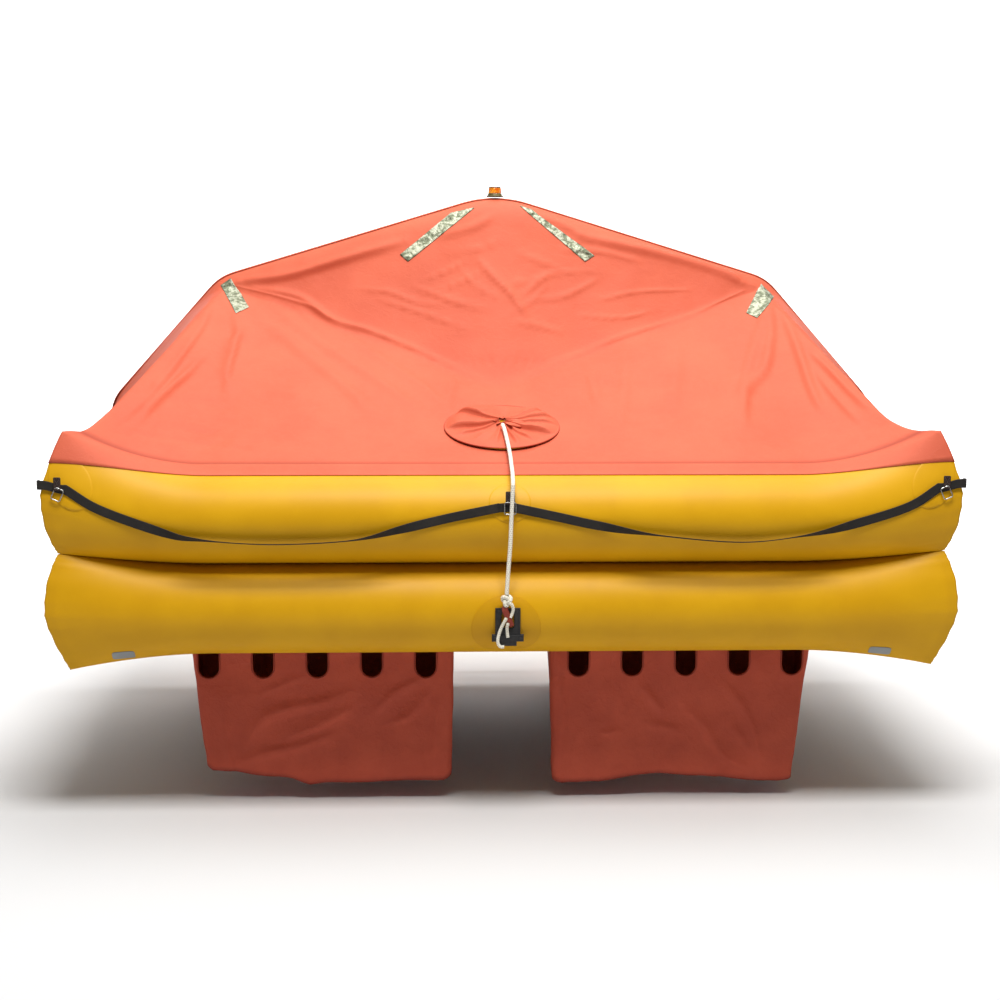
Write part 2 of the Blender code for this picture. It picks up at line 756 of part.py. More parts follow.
def cut_entrance(canopy):
    """Cut the entrance through the rear of the canopy."""
    half_height = (DOOR_HEAD_Z - DOOR_SILL_Z) / 2
    outline = rounded_rectangle(DOOR_HALF_WIDTH, half_height, DOOR_CORNER, 5)
    cutter = add_cutter("entrance_cutter", outline_data("entrance_cutter", [outline], DOOR_CUT_LENGTH))
    cutter.location = (0, DOOR_CUT_FROM_Y + DOOR_CUT_LENGTH / 2, DOOR_SILL_Z + half_height)
    cutter.rotation_euler.x = math.pi / 2
    add_cut(canopy, curve_to_mesh(cutter))


def roof_depth(across, height):
    """Return how far the canopy's steep upper panel stands from the ridge's plane."""
    apex, shoulder = (Vector(corner) for corner in RIDGE_CORNERS[:2])
    share = abs(across) / shoulder.x
    radius = ARCH_RADIUS + ARCH_CLEARANCE
    wrap = math.radians(RIDGE_WRAP_ANGLES[0])
    top_y = radius * math.sin(wrap)
    top_z = mix(apex.y, shoulder.y, share) - radius * (1 - math.cos(wrap))
    crease_y = mix(CREASE_Y, top_y, share)
    crease_z = mix(CREASE_Z, shoulder.y - radius * (1 - math.cos(wrap)), share)
    return mix(crease_y, top_y, (height - crease_z) / (top_z - crease_z))


def build_door_roll():
    """Build the entrance flap, rolled up and tied above the opening."""
    points = []
    steps = 12
    for step in range(steps + 1):
        across = (-1 + 2 * step / steps) * ROLL_HALF_LENGTH
        height = ROLL_Z - ROLL_SAG * (1 - (across / ROLL_HALF_LENGTH) ** 2)
        eased = math.hypot(across, ROLL_EASE) - ROLL_EASE
        points.append((across, roof_depth(eased, height) + ROLL_RADIUS + ROLL_STAND_OFF, height))
    add_object("door_roll", curve_data("door_roll", points, ROLL_RADIUS, 3), "canopy_fabric")


def build_turned(name, profile, steps, look):
    """Turn a profile, listed down its outer side, about its own Z axis."""
    bm = bmesh.new()
    verts = [bm.verts.new((radius, 0, height)) for radius, height in profile]
    for start, end in zip(verts, verts[1:]):
        bm.edges.new((start, end))
    mesh = bpy.data.meshes.new(name)
    bm.to_mesh(mesh)
    bm.free()
    obj = add_object(name, mesh, look)
    screw = obj.modifiers.new("turn", "SCREW")
    screw.steps = steps
    screw.render_steps = steps
    screw.use_merge_vertices = True
    screw.merge_threshold = 0.00005
    return obj


def build_lamp():
    """Build the locator lamp on the apex: a turned base and an amber dome."""
    base_z = APEX_Z + CANOPY_THICKNESS + 2 * GLUE_GAP
    # Columns: radius, height above the base
    base_profile = ((0.0, LAMP_BASE_HEIGHT), (LAMP_BASE_RADIUS - 0.004, LAMP_BASE_HEIGHT),
                    (LAMP_BASE_RADIUS, LAMP_BASE_HEIGHT - 0.004), (LAMP_BASE_RADIUS, 0.0), (0.0, 0.0))
    build_turned("lamp_base", base_profile, 24, "olive_plastic").location.z = base_z
    dome_profile = []
    for angle in range(0, 91, 15):
        turn = math.radians(angle)
        height = LAMP_DOME_SKIRT + LAMP_DOME_RISE * math.cos(turn)
        dome_profile.append((LAMP_DOME_RADIUS * math.sin(turn), height))
    dome_profile += [(LAMP_DOME_RADIUS, 0.0), (0.0, 0.0)]
    dome = build_turned("lamp_dome", dome_profile, 24, "lamp_amber")
    dome.location.z = base_z + LAMP_BASE_HEIGHT + 0.0004


def build_tow_patch():
    """Build the round patch that is glued to the front of the lower tube, behind the towing bracket."""
    middle_angle = math.degrees(math.asin((TOW_PATCH_Z - LOWER_AXIS_Z) / TUBE_RADIUS))
    steps = 10
    rows = []
    for row_step in range(steps + 1):
        around = -1 + 2 * row_step / steps
        row = []
        for step in range(steps + 1):
            across = -1 + 2 * step / steps
            along = TOW_PATCH_RADIUS * across * math.sqrt(1 - around ** 2 / 2)
            up = TOW_PATCH_RADIUS * around * math.sqrt(1 - across ** 2 / 2)
            turn = middle_angle + math.degrees(up / TUBE_RADIUS)
            row.append(skin_point("lower", "front", along, turn, PATCH_STAND_OFF))
        rows.append(row)
    mesh = loft_mesh("tow_patch", rows)
    if mesh.polygons[len(mesh.polygons) // 2].normal.y > 0:
        mesh.flip_normals()
    add_solidify(add_object("tow_patch", mesh, "tube_fabric"), PATCH_THICKNESS)


def build_tow_bracket():
    """Build the towing bracket: a slotted plate with a cross bar near its foot."""
    half_width = TOW_PLATE_WIDTH / 2
    half_height = TOW_PLATE_HEIGHT / 2
    half_bar = TOW_BAR_WIDTH / 2
    half_foot = TOW_FOOT_WIDTH / 2
    bar_bottom = -half_height + TOW_FOOT_HEIGHT
    bar_top = bar_bottom + TOW_BAR_HEIGHT
    outline = [
        (half_width, half_height), (-half_width, half_height), (-half_width, bar_top), (-half_bar, bar_top),
        (-half_bar, bar_bottom), (-half_foot, bar_bottom), (-half_foot, -half_height),
        (half_foot, -half_height), (half_foot, bar_bottom), (half_bar, bar_bottom),
        (half_bar, bar_top), (half_width, bar_top),
    ]
    slot = rounded_rectangle(TOW_SLOT_WIDTH / 2, TOW_SLOT_HEIGHT / 2, TOW_SLOT_CORNER, 3)
    slot = [(x, y + TOW_SLOT_RISE) for x, y in slot]
    plate = outline_data("tow_bracket", [outline, slot], TOW_PLATE_THICKNESS)
    obj = add_object("tow_bracket", plate, "black_plastic")
    stand_off = PATCH_STAND_OFF + PATCH_THICKNESS + GLUE_GAP
    obj.location = (TOW_X, -(RAFT_DEPTH / 2 + stand_off + TOW_PLATE_THICKNESS / 2), TOW_Z)
    obj.rotation_euler.x = math.pi / 2


def painter_route():
    """Return the painter line's route: out of the sleeve's neck, over the tube and down to the bracket."""
    front = -LINE_REACH
    return [
        Vector((0.000, PORT_Y - 0.041, PORT_Z + 0.0110)), Vector((0.004, PORT_Y - 0.060, PORT_Z + 0.0010)),
        Vector((0.008, PORT_Y - 0.090, PORT_Z - 0.0165)), Vector((0.012, -0.700, 0.4655)),
        Vector((0.015, -0.757, 0.4420)), Vector((0.016, -0.800, 0.4230)), Vector((0.0165, -0.845, 0.4090)),
        Vector((0.016, -0.874, 0.3990)), Vector((0.0155, -0.8945, 0.3860)), Vector((0.0150, front, 0.3700)),
        Vector((0.012, front, 0.300)), Vector((0.009, front, 0.220)),
        Vector((0.004, front, 0.150)), Vector((0.000, front, KNOT_Z + KNOT_RADIUS + 0.0004)),
    ]


def smooth_route(points, per_span):
    """Return points along a Catmull-Rom curve through the route."""
    padded = [points[0] * 2 - points[1], *points, points[-1] * 2 - points[-2]]
    smooth = []
    for p0, p1, p2, p3 in zip(padded, padded[1:], padded[2:], padded[3:]):
        for step in range(per_span):
            t = step / per_span
            smooth.append(0.5 * (
                2 * p1 + (p2 - p0) * t + (2 * p0 - 5 * p1 + 4 * p2 - p3) * t ** 2
                + (3 * p1 - p0 - 3 * p2 + p3) * t ** 3
            ))
    smooth.append(points[-1])
    return smooth


def build_painter():
    """Build the painter line with its knot and its toggle above the towing bracket."""
    route = smooth_route(painter_route(), 3)
    add_object("painter_line", curve_data("painter_line", route, LINE_DIAMETER / 2, 2), "white_rope")
    bm = bmesh.new()
    bmesh.ops.create_uvsphere(bm, u_segments=16, v_segments=10, radius=KNOT_RADIUS)
    bmesh.ops.transform(bm, verts=bm.verts, matrix=Matrix.Diagonal((0.95, 0.8, 1.0, 1.0)))
    knot = add_object("painter_knot", mesh_from_bmesh("painter_knot", bm), "white_rope")
    knot.location = (0.0, -LINE_REACH, KNOT_Z)
    bm = bmesh.new()
    bmesh.ops.create_cube(bm, size=1.0)
    bmesh.ops.transform(bm, verts=bm.verts, matrix=Matrix.Diagonal((*TOGGLE_SIZE, 1.0)))
    toggle = add_object("painter_toggle", mesh_from_bmesh("painter_toggle", bm, 30), "red_webbing")
    toggle.location = (TOGGLE_X, -LINE_REACH, KNOT_Z - KNOT_RADIUS - TOGGLE_SIZE[2] / 2 - 0.0016)
    add_bevel(toggle, 0.003)


def ribbon_mesh(name, points, rolls, outs, width, thickness):
    """Loft a flat band along points. The roll turns its width from upright towards the outward direction."""
    rings = []
    for index, (point, roll, out) in enumerate(zip(points, rolls, outs)):
        before = points[max(0, index - 1)]
        after = points[min(len(points) - 1, index + 1)]
        along = (after - before).normalized()
        upright = out.cross(along).normalized()
        if upright.z < 0:
            upright = -upright
        face = upright.cross(along).normalized()
        if face.dot(out) < 0:
            face = -face
        turn = math.radians(roll)
        wide = upright * math.cos(turn) + face * math.sin(turn)
        thin = face * math.cos(turn) - upright * math.sin(turn)
        rings.append([
            point + wide * (width / 2 * a) + thin * (thickness / 2 * b)
            for a, b in ((1, 1), (-1, 1), (-1, -1), (1, -1))
        ])
    return face_out(loft_mesh(name, rings, closed=True, caps=True))


def lifeline_span(name, side, start, end, steps=24):
    """Hang one slack span of webbing between two places on the upper tube.

    Each end is a place along the side with its height. The webbing lies flat on the tube at its ends
    and turns on edge where it hangs free.
    """
    points = []
    rolls = []
    outs = []
    out = {"front": Vector((0, -1, 0)), "rear": Vector((0, 1, 0)),
           "left": Vector((-1, 0, 0)), "right": Vector((1, 0, 0))}[side]
    half_plan = RAFT_DEPTH / 2 if side in ("front", "rear") else RAFT_WIDTH / 2
    for step in range(steps + 1):
        share = step / steps
        along = mix(start[0], end[0], share)
        bow = 4 * share * (1 - share)
        height = mix(start[1], end[1], share)
        height = mix(height, WEB_LOW_Z, bow ** 0.85)
        edge = max(0.0, (bow - 0.35) / 0.65)
        roll = SPAN_ROLL * math.sin(math.pi / 2 * edge)
        distance = half_plan + WEB_STAND_OFF + WEB_WIDTH / 2 * math.sin(math.radians(roll))
        if side in ("front", "rear"):
            points.append(Vector((along, out.y * distance, height)))
        else:
            points.append(Vector((out.x * distance, along, height)))
        rolls.append(roll)
        outs.append(out)
    mesh = ribbon_mesh(name, points, rolls, outs, WEB_WIDTH, WEB_THICKNESS)
    return add_object(name, mesh, "webbing")


def build_lifelines():
    """Build the six pieces of lifeline: two spans at the front and rear, one on each side."""
    corner_x = CORNER_TAB_X - SPAN_END_GAP
    middle = MIDDLE_TAB_Z - MIDDLE_SPAN_DROP
    for side, tab_x in (("front", 0.0), ("rear", REAR_TAB_X)):
        for label, sign in (("left", -1), ("right", 1)):
            lifeline_span(f"lifeline_{side}_{label}", side, (sign * corner_x, CORNER_TAB_Z),
                          (sign * (tab_x + SPAN_END_GAP), middle))
    for side in ("left", "right"):
        lifeline_span(f"lifeline_{side}", side, (-SIDE_SPAN_HALF_LENGTH, CORNER_TAB_Z),
                      (SIDE_SPAN_HALF_LENGTH, CORNER_TAB_Z))


def build_tab(name, centre, facing_degrees):
    """Build a stitched webbing tab that holds the lifeline: a small upright plate with round corners."""
    outline = rounded_rectangle(TAB_WIDTH / 2, TAB_HEIGHT / 2, 0.006, 3)
    obj = add_object(name, outline_data(name, [outline], TAB_THICKNESS), "webbing")
    obj.location = centre
    obj.rotation_euler = (math.pi / 2, 0, math.radians(facing_degrees))


def build_tabs():
    """Place the lifeline's tabs: one mid-front, one on each side of the ladder and one at each corner."""
    middle_y = RAFT_DEPTH / 2 + TAB_STAND_OFF
    build_tab("lifeline_tab_front", (0, -middle_y, MIDDLE_TAB_Z), 0)
    for label, sign in (("left", -1), ("right", 1)):
        build_tab(f"lifeline_tab_ladder_{label}", (sign * REAR_TAB_X, middle_y, MIDDLE_TAB_Z), 180)
    corner_y = RAFT_DEPTH / 2 + CORNER_TAB_STAND_OFF
    for end, sign_y, facing in (("front", -1, 0), ("rear", 1, 180)):
        for side, sign_x in (("left", -1), ("right", 1)):
            centre = (sign_x * CORNER_TAB_X, sign_y * corner_y, CORNER_TAB_Z)
            build_tab(f"lifeline_tab_{end}_{side}", centre, facing)


def bag_ring(width, depth, centre_x, height):
    """Return one level of a front ballast bag: front left, front right, rear right, rear left."""
    left, right = centre_x - width / 2, centre_x + width / 2
    front, back = -BAG_FRONT_Y, depth - BAG_FRONT_Y
    return [Vector((x, y, height)) for x, y in ((left, front), (right, front), (right, back), (left, back))]


def build_bag(name, sign_x, rear):
    """Build a hanging ballast bag: thin walls and a bottom, open to the floor, with water slots."""
    rings = []
    levels = 4
    centre_x = sign_x * (BAG_CENTRE_X + (REAR_BAG_SHIFT if rear else 0.0))
    for level in range(levels + 1):
        down = level / levels
        width = mix(BAG_TOP_WIDTH, BAG_BOTTOM_WIDTH, down)
        depth = mix(BAG_TOP_DEPTH, BAG_BOTTOM_DEPTH, down)
        shift = -sign_x * BAG_BOTTOM_SHIFT * down
        rings.append(bag_ring(width, depth, centre_x + shift, mix(BAG_TOP_Z, BAG_BOTTOM_Z, down)))
    bm = bmesh.new()
    rows = [[bm.verts.new(point) for point in ring] for ring in rings]
    for row, below in zip(rows, rows[1:]):
        for index in range(4):
            after = (index + 1) % 4
            bm.faces.new((row[index], below[index], below[after], row[after]))
    bm.faces.new(rows[-1])
    bmesh.ops.recalc_face_normals(bm, faces=bm.faces)
    mesh = mesh_from_bmesh(name, bm)
    if rear:
        flip_to_rear(mesh)
    bag = add_object(name, mesh, "bag_fabric")
    add_solidify(bag, BAG_WALL, -1.0)
    add_cut(bag, slot_cutter(name, sign_x, rear))


def slot_cutter(name, sign_x, rear):
    """Make the row of round-ended slot cutters, which pass through the bag's outer wall."""
    bm = bmesh.new()
    first_x = SLOT_FIRST_X + (REAR_BAG_SHIFT if rear else 0.0)
    half = SLOT_WIDTH / 2
    steps = 8
    for index in range(SLOT_COUNT):
        centre = sign_x * (first_x + SLOT_PITCH * index)
        outline = []
        for end, start_angle in ((SLOT_TOP_Z, 0.0), (SLOT_BOTTOM_Z + half, math.pi)):
            for step in range(steps + 1):
                angle = start_angle + math.pi * step / steps
                outline.append((centre + half * math.cos(angle), end + half * math.sin(angle)))
        sign_y = 1 if rear else -1
        near_y = sign_y * (BAG_FRONT_Y - SLOT_CUT_REACH)
        far_y = sign_y * (BAG_FRONT_Y + SLOT_CUT_REACH)
        front = [bm.verts.new((x, near_y, z)) for x, z in outline]
        back = [bm.verts.new((x, far_y, z)) for x, z in outline]
        bm.faces.new(front)
        bm.faces.new(list(reversed(back)))
        for place in range(len(outline)):
            after = (place + 1) % len(outline)
            bm.faces.new((front[place], back[place], back[after], front[after]))
    bmesh.ops.recalc_face_normals(bm, faces=bm.faces)
    return add_cutter(f"{name}_slot_cutter", mesh_from_bmesh(f"{name}_slot_cutter", bm))


def build_gas_gear():
    """Build the gas cylinder under the floor with its head and two straps."""
    axis_z = FLOOR_TOP_Z - FLOOR_THICKNESS - GAS_DROP - GAS_RADIUS
    half = GAS_LENGTH / 2
    # Columns: radius, place along the cylinder from its middle
    profile = [(0.0, half), (0.022, half), (0.040, half - 0.012), (GAS_RADIUS, half - 0.035),
               (GAS_RADIUS, -half + 0.030), (0.045, -half + 0.008), (0.030, -half), (0.0, -half)]
    body = build_turned("gas_cylinder", profile, 24, "painted_steel")
    body.location = (-GAS_X, GAS_Y, axis_z)
    body.rotation_euler.y = math.pi / 2
    head_profile = [(0.0, 0.050), (0.014, 0.050), (0.018, 0.044), (0.018, 0.012),
                    (0.012, 0.010), (0.012, 0.0), (0.0, 0.0)]
    head = build_turned("gas_head", head_profile, 16, "black_plastic")
    head.location = (-GAS_X + half + 0.0004, GAS_Y, axis_z)
    head.rotation_euler.y = math.pi / 2
    for label, sign in (("inner", 1), ("outer", -1)):
        build_gas_strap(f"gas_strap_{label}", -GAS_X + sign * GAS_LENGTH * GAS_STRAP_PLACE, axis_z)


def build_gas_strap(name, centre_x, axis_z):
    """Build one band that hangs from the floor round the cylinder."""
    band = GAS_RADIUS + GAS_STRAP_CLEARANCE + GAS_STRAP_THICKNESS / 2
    flange = band + GAS_STRAP_FLANGE
    top_z = FLOOR_TOP_Z - FLOOR_THICKNESS - GLUE_GAP - GAS_STRAP_THICKNESS / 2
    section = [(-flange, top_z), (-band, top_z)]
    steps = 14
    for step in range(steps + 1):
        angle = math.pi + math.pi * step / steps
        section.append((band * math.cos(angle), axis_z + band * math.sin(angle)))
    section += [(band, top_z), (flange, top_z)]
    rows = []
    for edge_x in (centre_x - GAS_STRAP_WIDTH / 2, centre_x + GAS_STRAP_WIDTH / 2):
        rows.append([Vector((edge_x, GAS_Y + y, z)) for y, z in section])
    obj = add_object(name, loft_mesh(name, rows), "webbing")
    add_solidify(obj, GAS_STRAP_THICKNESS * 0.9, 0.0)


def build_righting_strap():
    """Build the righting strap that runs across the underside of the floor, a little slack."""
    top_z = FLOOR_TOP_Z - FLOOR_THICKNESS - GLUE_GAP - RIGHTING_THICKNESS / 2
    rings = []
    steps = 12
    for step in range(steps + 1):
        across = -1 + 2 * step / steps
        sag = RIGHTING_SAG * (1 - across ** 2)
        point = Vector((across * RIGHTING_HALF_LENGTH, RIGHTING_Y, top_z - sag))
        rings.append([
            point + Vector((0, a * RIGHTING_WIDTH / 2, b * RIGHTING_THICKNESS / 2))
            for a, b in ((1, 1), (-1, 1), (-1, -1), (1, -1))
        ])
    mesh = face_out(loft_mesh("righting_strap", rings, closed=True, caps=True))
    add_object("righting_strap", mesh, "webbing")


def build_ladder():
    """Build the webbing boarding ladder that hangs behind the entrance."""
    middle_z = (LADDER_TOP_Z + LADDER_BOTTOM_Z) / 2
    half_height = (LADDER_TOP_Z - LADDER_BOTTOM_Z) / 2
    outlines = [rounded_rectangle(LADDER_HALF_WIDTH, half_height, 0.010, 2)]
    window_height = (2 * half_height - LADDER_WEB * (LADDER_RUNGS + 1)) / LADDER_RUNGS
    for rung in range(LADDER_RUNGS):
        centre = -half_height + LADDER_WEB + window_height / 2 + rung * (window_height + LADDER_WEB)
        window = rounded_rectangle(LADDER_HALF_WIDTH - LADDER_WEB, window_height / 2, 0.012, 2)
        outlines.append([(x, y + centre) for x, y in window])
    data = outline_data("boarding_ladder", outlines, LADDER_THICKNESS)
    obj = add_object("boarding_ladder", data, "webbing")
    obj.location = (0, RAFT_DEPTH / 2 + LADDER_STAND_OFF + LADDER_THICKNESS / 2, middle_z)
    obj.rotation_euler.x = math.pi / 2


def build_handles():
    """Build the two webbing grab handles beside the entrance, bowed off the upper tube."""
    up_tube = math.radians(HANDLE_ANGLE)
    out = Vector((0, math.cos(up_tube), math.sin(up_tube)))
    steps = 12
    for label, sign in (("left", -1), ("right", 1)):
        points = []
        for step in range(steps + 1):
            across = -1 + 2 * step / steps
            rise = HANDLE_STAND_OFF + HANDLE_BOW * (1 - abs(across) ** 2.4)
            along = sign * HANDLE_X + across * HANDLE_HALF_SPAN
            points.append(skin_point("upper", "rear", along, HANDLE_ANGLE, rise))
        name = f"boarding_handle_{label}"
        rolls = [0.0] * len(points)
        outs = [out] * len(points)
        mesh = ribbon_mesh(name, points, rolls, outs, WEB_WIDTH, HANDLE_THICKNESS)
        add_object(name, mesh, "webbing")


def build_drogue_plate():
    """Build the flat plate on the rear of the lower tube, where a drogue or a tow line is made fast."""
    bm = bmesh.new()
    bmesh.ops.create_cube(bm, size=1.0)
    bmesh.ops.transform(bm, verts=bm.verts,
                        matrix=Matrix.Diagonal((DROGUE_WIDTH, DROGUE_THICKNESS, DROGUE_HEIGHT, 1.0)))
    obj = add_object("drogue_plate", mesh_from_bmesh("drogue_plate", bm, 30), "black_plastic")
    obj.location = (DROGUE_X, RAFT_DEPTH / 2 + GLUE_GAP + DROGUE_THICKNESS / 2, LOWER_AXIS_Z)
    add_bevel(obj, 0.002)


def build_valves():
    """Build the valves from their table: turned knobs, square to the side tubes."""
    # Columns: share of the radius, share of the height
    profile = ((0.0, 1.0), (0.55, 1.0), (0.62, 0.72), (0.95, 0.60), (1.0, 0.40), (1.0, 0.0), (0.0, 0.0))
    for name, tube, side, along, angle in VALVES:
        scaled = [(radius * VALVE_RADIUS, height * VALVE_HEIGHT) for radius, height in profile]
        valve = build_turned(name, scaled, 20, "black_plastic")
        valve.location = skin_point(tube, side, along, angle, VALVE_STAND_OFF)
        sign = 1 if side == "right" else -1
        valve.rotation_euler.y = sign * math.radians(90 - angle)


def build_raft():
    """Build every piece of the raft."""
    build_tube("lower_tube", "lower")
    build_tube("upper_tube", "upper")
    build_floor()
    build_arch()
    cut_port(build_canopy("canopy_front", rear=False))
    cut_entrance(build_canopy("canopy_rear", rear=True))
    build_port_sleeve()
    build_door_roll()
    build_lamp()
    build_tow_patch()
    build_tow_bracket()
    build_painter()
    build_lifelines()
    build_tabs()
    for end, rear in (("front", False), ("rear", True)):
        for label, sign in (("left", -1), ("right", 1)):
            build_bag(f"ballast_bag_{end}_{label}", sign, rear)
    build_gas_gear()
    build_righting_strap()
    build_ladder()
    build_handles()
    build_drogue_plate()
    build_valves()


build_raft()
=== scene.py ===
"""Looks of a rectangular life raft with two stacked tubes, an arched canopy and ballast bags.

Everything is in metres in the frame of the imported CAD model: X to the right, +Y away from the viewer,
Z up, with the origin at the waterline in the middle of the plan.
"""

import itertools
import logging
import math
from dataclasses import dataclass, field
from enum import Enum
from typing import Any, Callable, ClassVar, Iterable, Sequence

import bmesh
import bpy
import numpy as np
from mathutils import Matrix, Vector
from mathutils.bvhtree import BVHTree


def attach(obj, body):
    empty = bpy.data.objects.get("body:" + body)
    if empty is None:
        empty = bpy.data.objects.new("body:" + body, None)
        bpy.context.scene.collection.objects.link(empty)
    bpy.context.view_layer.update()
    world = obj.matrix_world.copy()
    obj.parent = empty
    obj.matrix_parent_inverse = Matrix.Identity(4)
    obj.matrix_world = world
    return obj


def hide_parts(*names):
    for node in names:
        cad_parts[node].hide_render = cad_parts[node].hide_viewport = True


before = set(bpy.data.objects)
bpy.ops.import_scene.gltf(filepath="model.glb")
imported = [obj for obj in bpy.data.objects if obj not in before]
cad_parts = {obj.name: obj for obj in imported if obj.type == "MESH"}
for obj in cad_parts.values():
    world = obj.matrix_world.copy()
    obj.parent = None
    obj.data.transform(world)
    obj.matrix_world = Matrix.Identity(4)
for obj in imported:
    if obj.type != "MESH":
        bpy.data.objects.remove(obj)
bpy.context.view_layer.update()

WEAVE = "Weave"
BODY = "root"
GLUE_GAP = 0.0006

logging.basicConfig(level=logging.INFO, format="%(message)s")
log = logging.getLogger("life_raft")

Point = Sequence[float]
Pair = tuple[float, float]
Triple = tuple[float, float, float]
Array = np.ndarray
Piece = bpy.types.Object

# Turns a flat outline, drawn as X and Y, to face the front
UPRIGHT = Matrix.Rotation(math.pi / 2, 4, "X")


class Level(Enum):
    """The two buoyancy tubes: height of the axis and how far it lifts at the mitre seams."""

    LOWER = (0.025, 0.0075)
    UPPER = (0.2754, 0.080)


class Leg(Enum):
    """The two kinds of straight run in a tube's ring."""

    FRONT = "front"
    SIDE = "side"


class Fold(Enum):
    """Ways in which cloth is creased along a line."""

    CREASE = "crease"
    PIPE = "pipe"
    PLEAT = "pleat"
    SEAM = "seam"


# Numbers and points


def mix(start: Any, end: Any, share: Any) -> Any:
    """Return the value at a share of the way from start to end."""
    return start + (end - start) * share


def ease(value: Any) -> Any:
    """Return a smooth step of values that are first held between 0 and 1."""
    held = np.clip(value, 0.0, 1.0)
    return held * held * (3 - 2 * held)


def unit(vectors: Array) -> Array:
    """Return vectors scaled to length 1."""
    return vectors / np.maximum(np.linalg.norm(vectors, axis=-1, keepdims=True), 1e-12)


def soft_noise(points: Array, size: float, seed: int = 0) -> Array:
    """Return smooth noise from -1 to 1.

    Args:
        points: Places, the last axis being X, Y, Z.
        size: The distance between two unrelated values, in metres.
        seed: Picks another field of noise.

    Returns:
        One value a point.
    """
    cell = np.asarray(points, float) / size + seed * 17.13
    base = np.floor(cell).astype(np.int64)
    part = ease(cell - base)
    total = np.zeros(cell.shape[:-1])
    for corner in itertools.product((0, 1), repeat=3):
        lattice = base + np.array(corner)
        mixed = (lattice[..., 0] * 73856093) ^ (lattice[..., 1] * 19349663) ^ (lattice[..., 2] * 83492791)
        value = (((mixed & 0x7FFFFFFF) * 1103515245 + 12345) >> 8 & 0xFFFF) / 32767.5 - 1
        weight = np.prod(np.where(np.array(corner) == 1, part, 1 - part), axis=-1)
        total += value * weight
    return total


def smooth_line(points: Iterable[Point], per_span: int) -> Array:
    """Return points along a Catmull-Rom curve through the given ones."""
    given = np.array(list(points), float)
    padded = np.vstack([2 * given[0] - given[1], given, 2 * given[-1] - given[-2]])
    made = []
    for p0, p1, p2, p3 in zip(padded, padded[1:], padded[2:], padded[3:]):
        for step in range(per_span):
            t = step / per_span
            made.append(0.5 * (2 * p1 + (p2 - p0) * t + (2 * p0 - 5 * p1 + 4 * p2 - p3) * t ** 2
                               + (3 * p1 - p0 - 3 * p2 + p3) * t ** 3))
    made.append(given[-1])
    return np.array(made)


def distances(points: Array) -> Array:
    """Return how far along a line each of its points is."""
    return np.concatenate([[0.0], np.cumsum(np.linalg.norm(np.diff(points, axis=0), axis=1))])


def line_length(points: Array) -> float:
    """Return the length of a line through points."""
    return float(distances(points)[-1])


def evenly(points: Array, count: int) -> Array:
    """Return a number of points at equal distances along a line."""
    steps = distances(points)
    wanted = np.linspace(0.0, steps[-1], count)
    return np.stack([np.interp(wanted, steps, points[:, axis]) for axis in range(points.shape[1])], axis=1)


def evenly_round(outline: Array, count: int) -> Array:
    """Return a number of points at equal distances along a closed outline."""
    return evenly(np.vstack([outline, outline[:1]]), count + 1)[:-1]


def full_turn(count: int) -> Array:
    """Return a number of angles spread over a full turn."""
    return np.linspace(0, 2 * math.pi, count, endpoint=False)


def oval(count: int, half_width: float, half_height: float, *height: float) -> Array:
    """Return points round an oval, at a height if one is given."""
    turns = full_turn(count)
    return np.stack([half_width * np.cos(turns), half_height * np.sin(turns),
                     *(np.full(count, each) for each in height)], axis=1)


def heading(path: Array, closed: bool = False) -> Array:
    """Return the direction of an open or a closed path at each of its points."""
    if closed:
        return unit(np.roll(path, -1, axis=0) - np.roll(path, 1, axis=0))
    return unit(np.gradient(path, axis=0))


def carried_frames(path: Array, hint: Point) -> tuple[Array, Array]:
    """Return two directions square to a path, turned as little as can be along it."""
    ahead = heading(path)
    first = np.array(hint, float) - ahead[0] * np.dot(hint, ahead[0])
    side = [unit(first)]
    for tangent in ahead[1:]:
        side.append(unit(side[-1] - tangent * np.dot(side[-1], tangent)))
    side_array = np.array(side)
    return side_array, np.cross(ahead, side_array)


def rounded_outline(half_width: float, half_height: float, radius: float, steps: int = 6) -> Array:
    """Return the outline of a rectangle with round corners, counter-clockwise."""
    points = []
    for quarter, (sign_x, sign_y) in enumerate(((1, 1), (-1, 1), (-1, -1), (1, -1))):
        for step in range(steps + 1):
            angle = math.pi / 2 * (quarter + step / steps)
            points.append((sign_x * (half_width - radius) + radius * math.cos(angle),
                           sign_y * (half_height - radius) + radius * math.sin(angle)))
    return np.array(points)


def filleted(points: Array, radii: Sequence[float], steps: int = 8) -> Array:
    """Return a flat polyline whose inner corners are rounded with arcs."""
    made = [points[0]]
    for before, corner, after, radius in zip(points, points[1:], points[2:], radii):
        back, ahead = unit(before - corner), unit(after - corner)
        half = math.acos(float(np.clip(back @ ahead, -1, 1))) / 2
        centre = corner + unit(back + ahead) * radius / math.sin(half)
        start = corner + back * radius / math.tan(half) - centre
        turn = math.copysign(math.pi - 2 * half, start[0] * ahead[1] - start[1] * ahead[0])
        for angle in np.linspace(0, turn, steps + 1):
            made.append(centre + (start[0] * math.cos(angle) - start[1] * math.sin(angle),
                                  start[0] * math.sin(angle) + start[1] * math.cos(angle)))
    made.append(points[-1])
    return np.array(made)


# Meshes


def grid_quads(rows: int, columns: int, closed_rows: bool = False, closed_columns: bool = False) -> Array:
    """Return the quads of a grid of points, row by row.

    Args:
        rows: How many rows the grid has.
        columns: How many points a row has.
        closed_rows: Join the last row to the first.
        closed_columns: Join each row's last point to its first.
    """
    index = np.arange(rows * columns).reshape(rows, columns)
    if closed_rows:
        index = np.vstack([index, index[:1]])
    if closed_columns:
        index = np.hstack([index, index[:, :1]])
    return np.stack([index[:-1, :-1], index[1:, :-1], index[1:, 1:], index[:-1, 1:]], axis=-1).reshape(-1, 4)


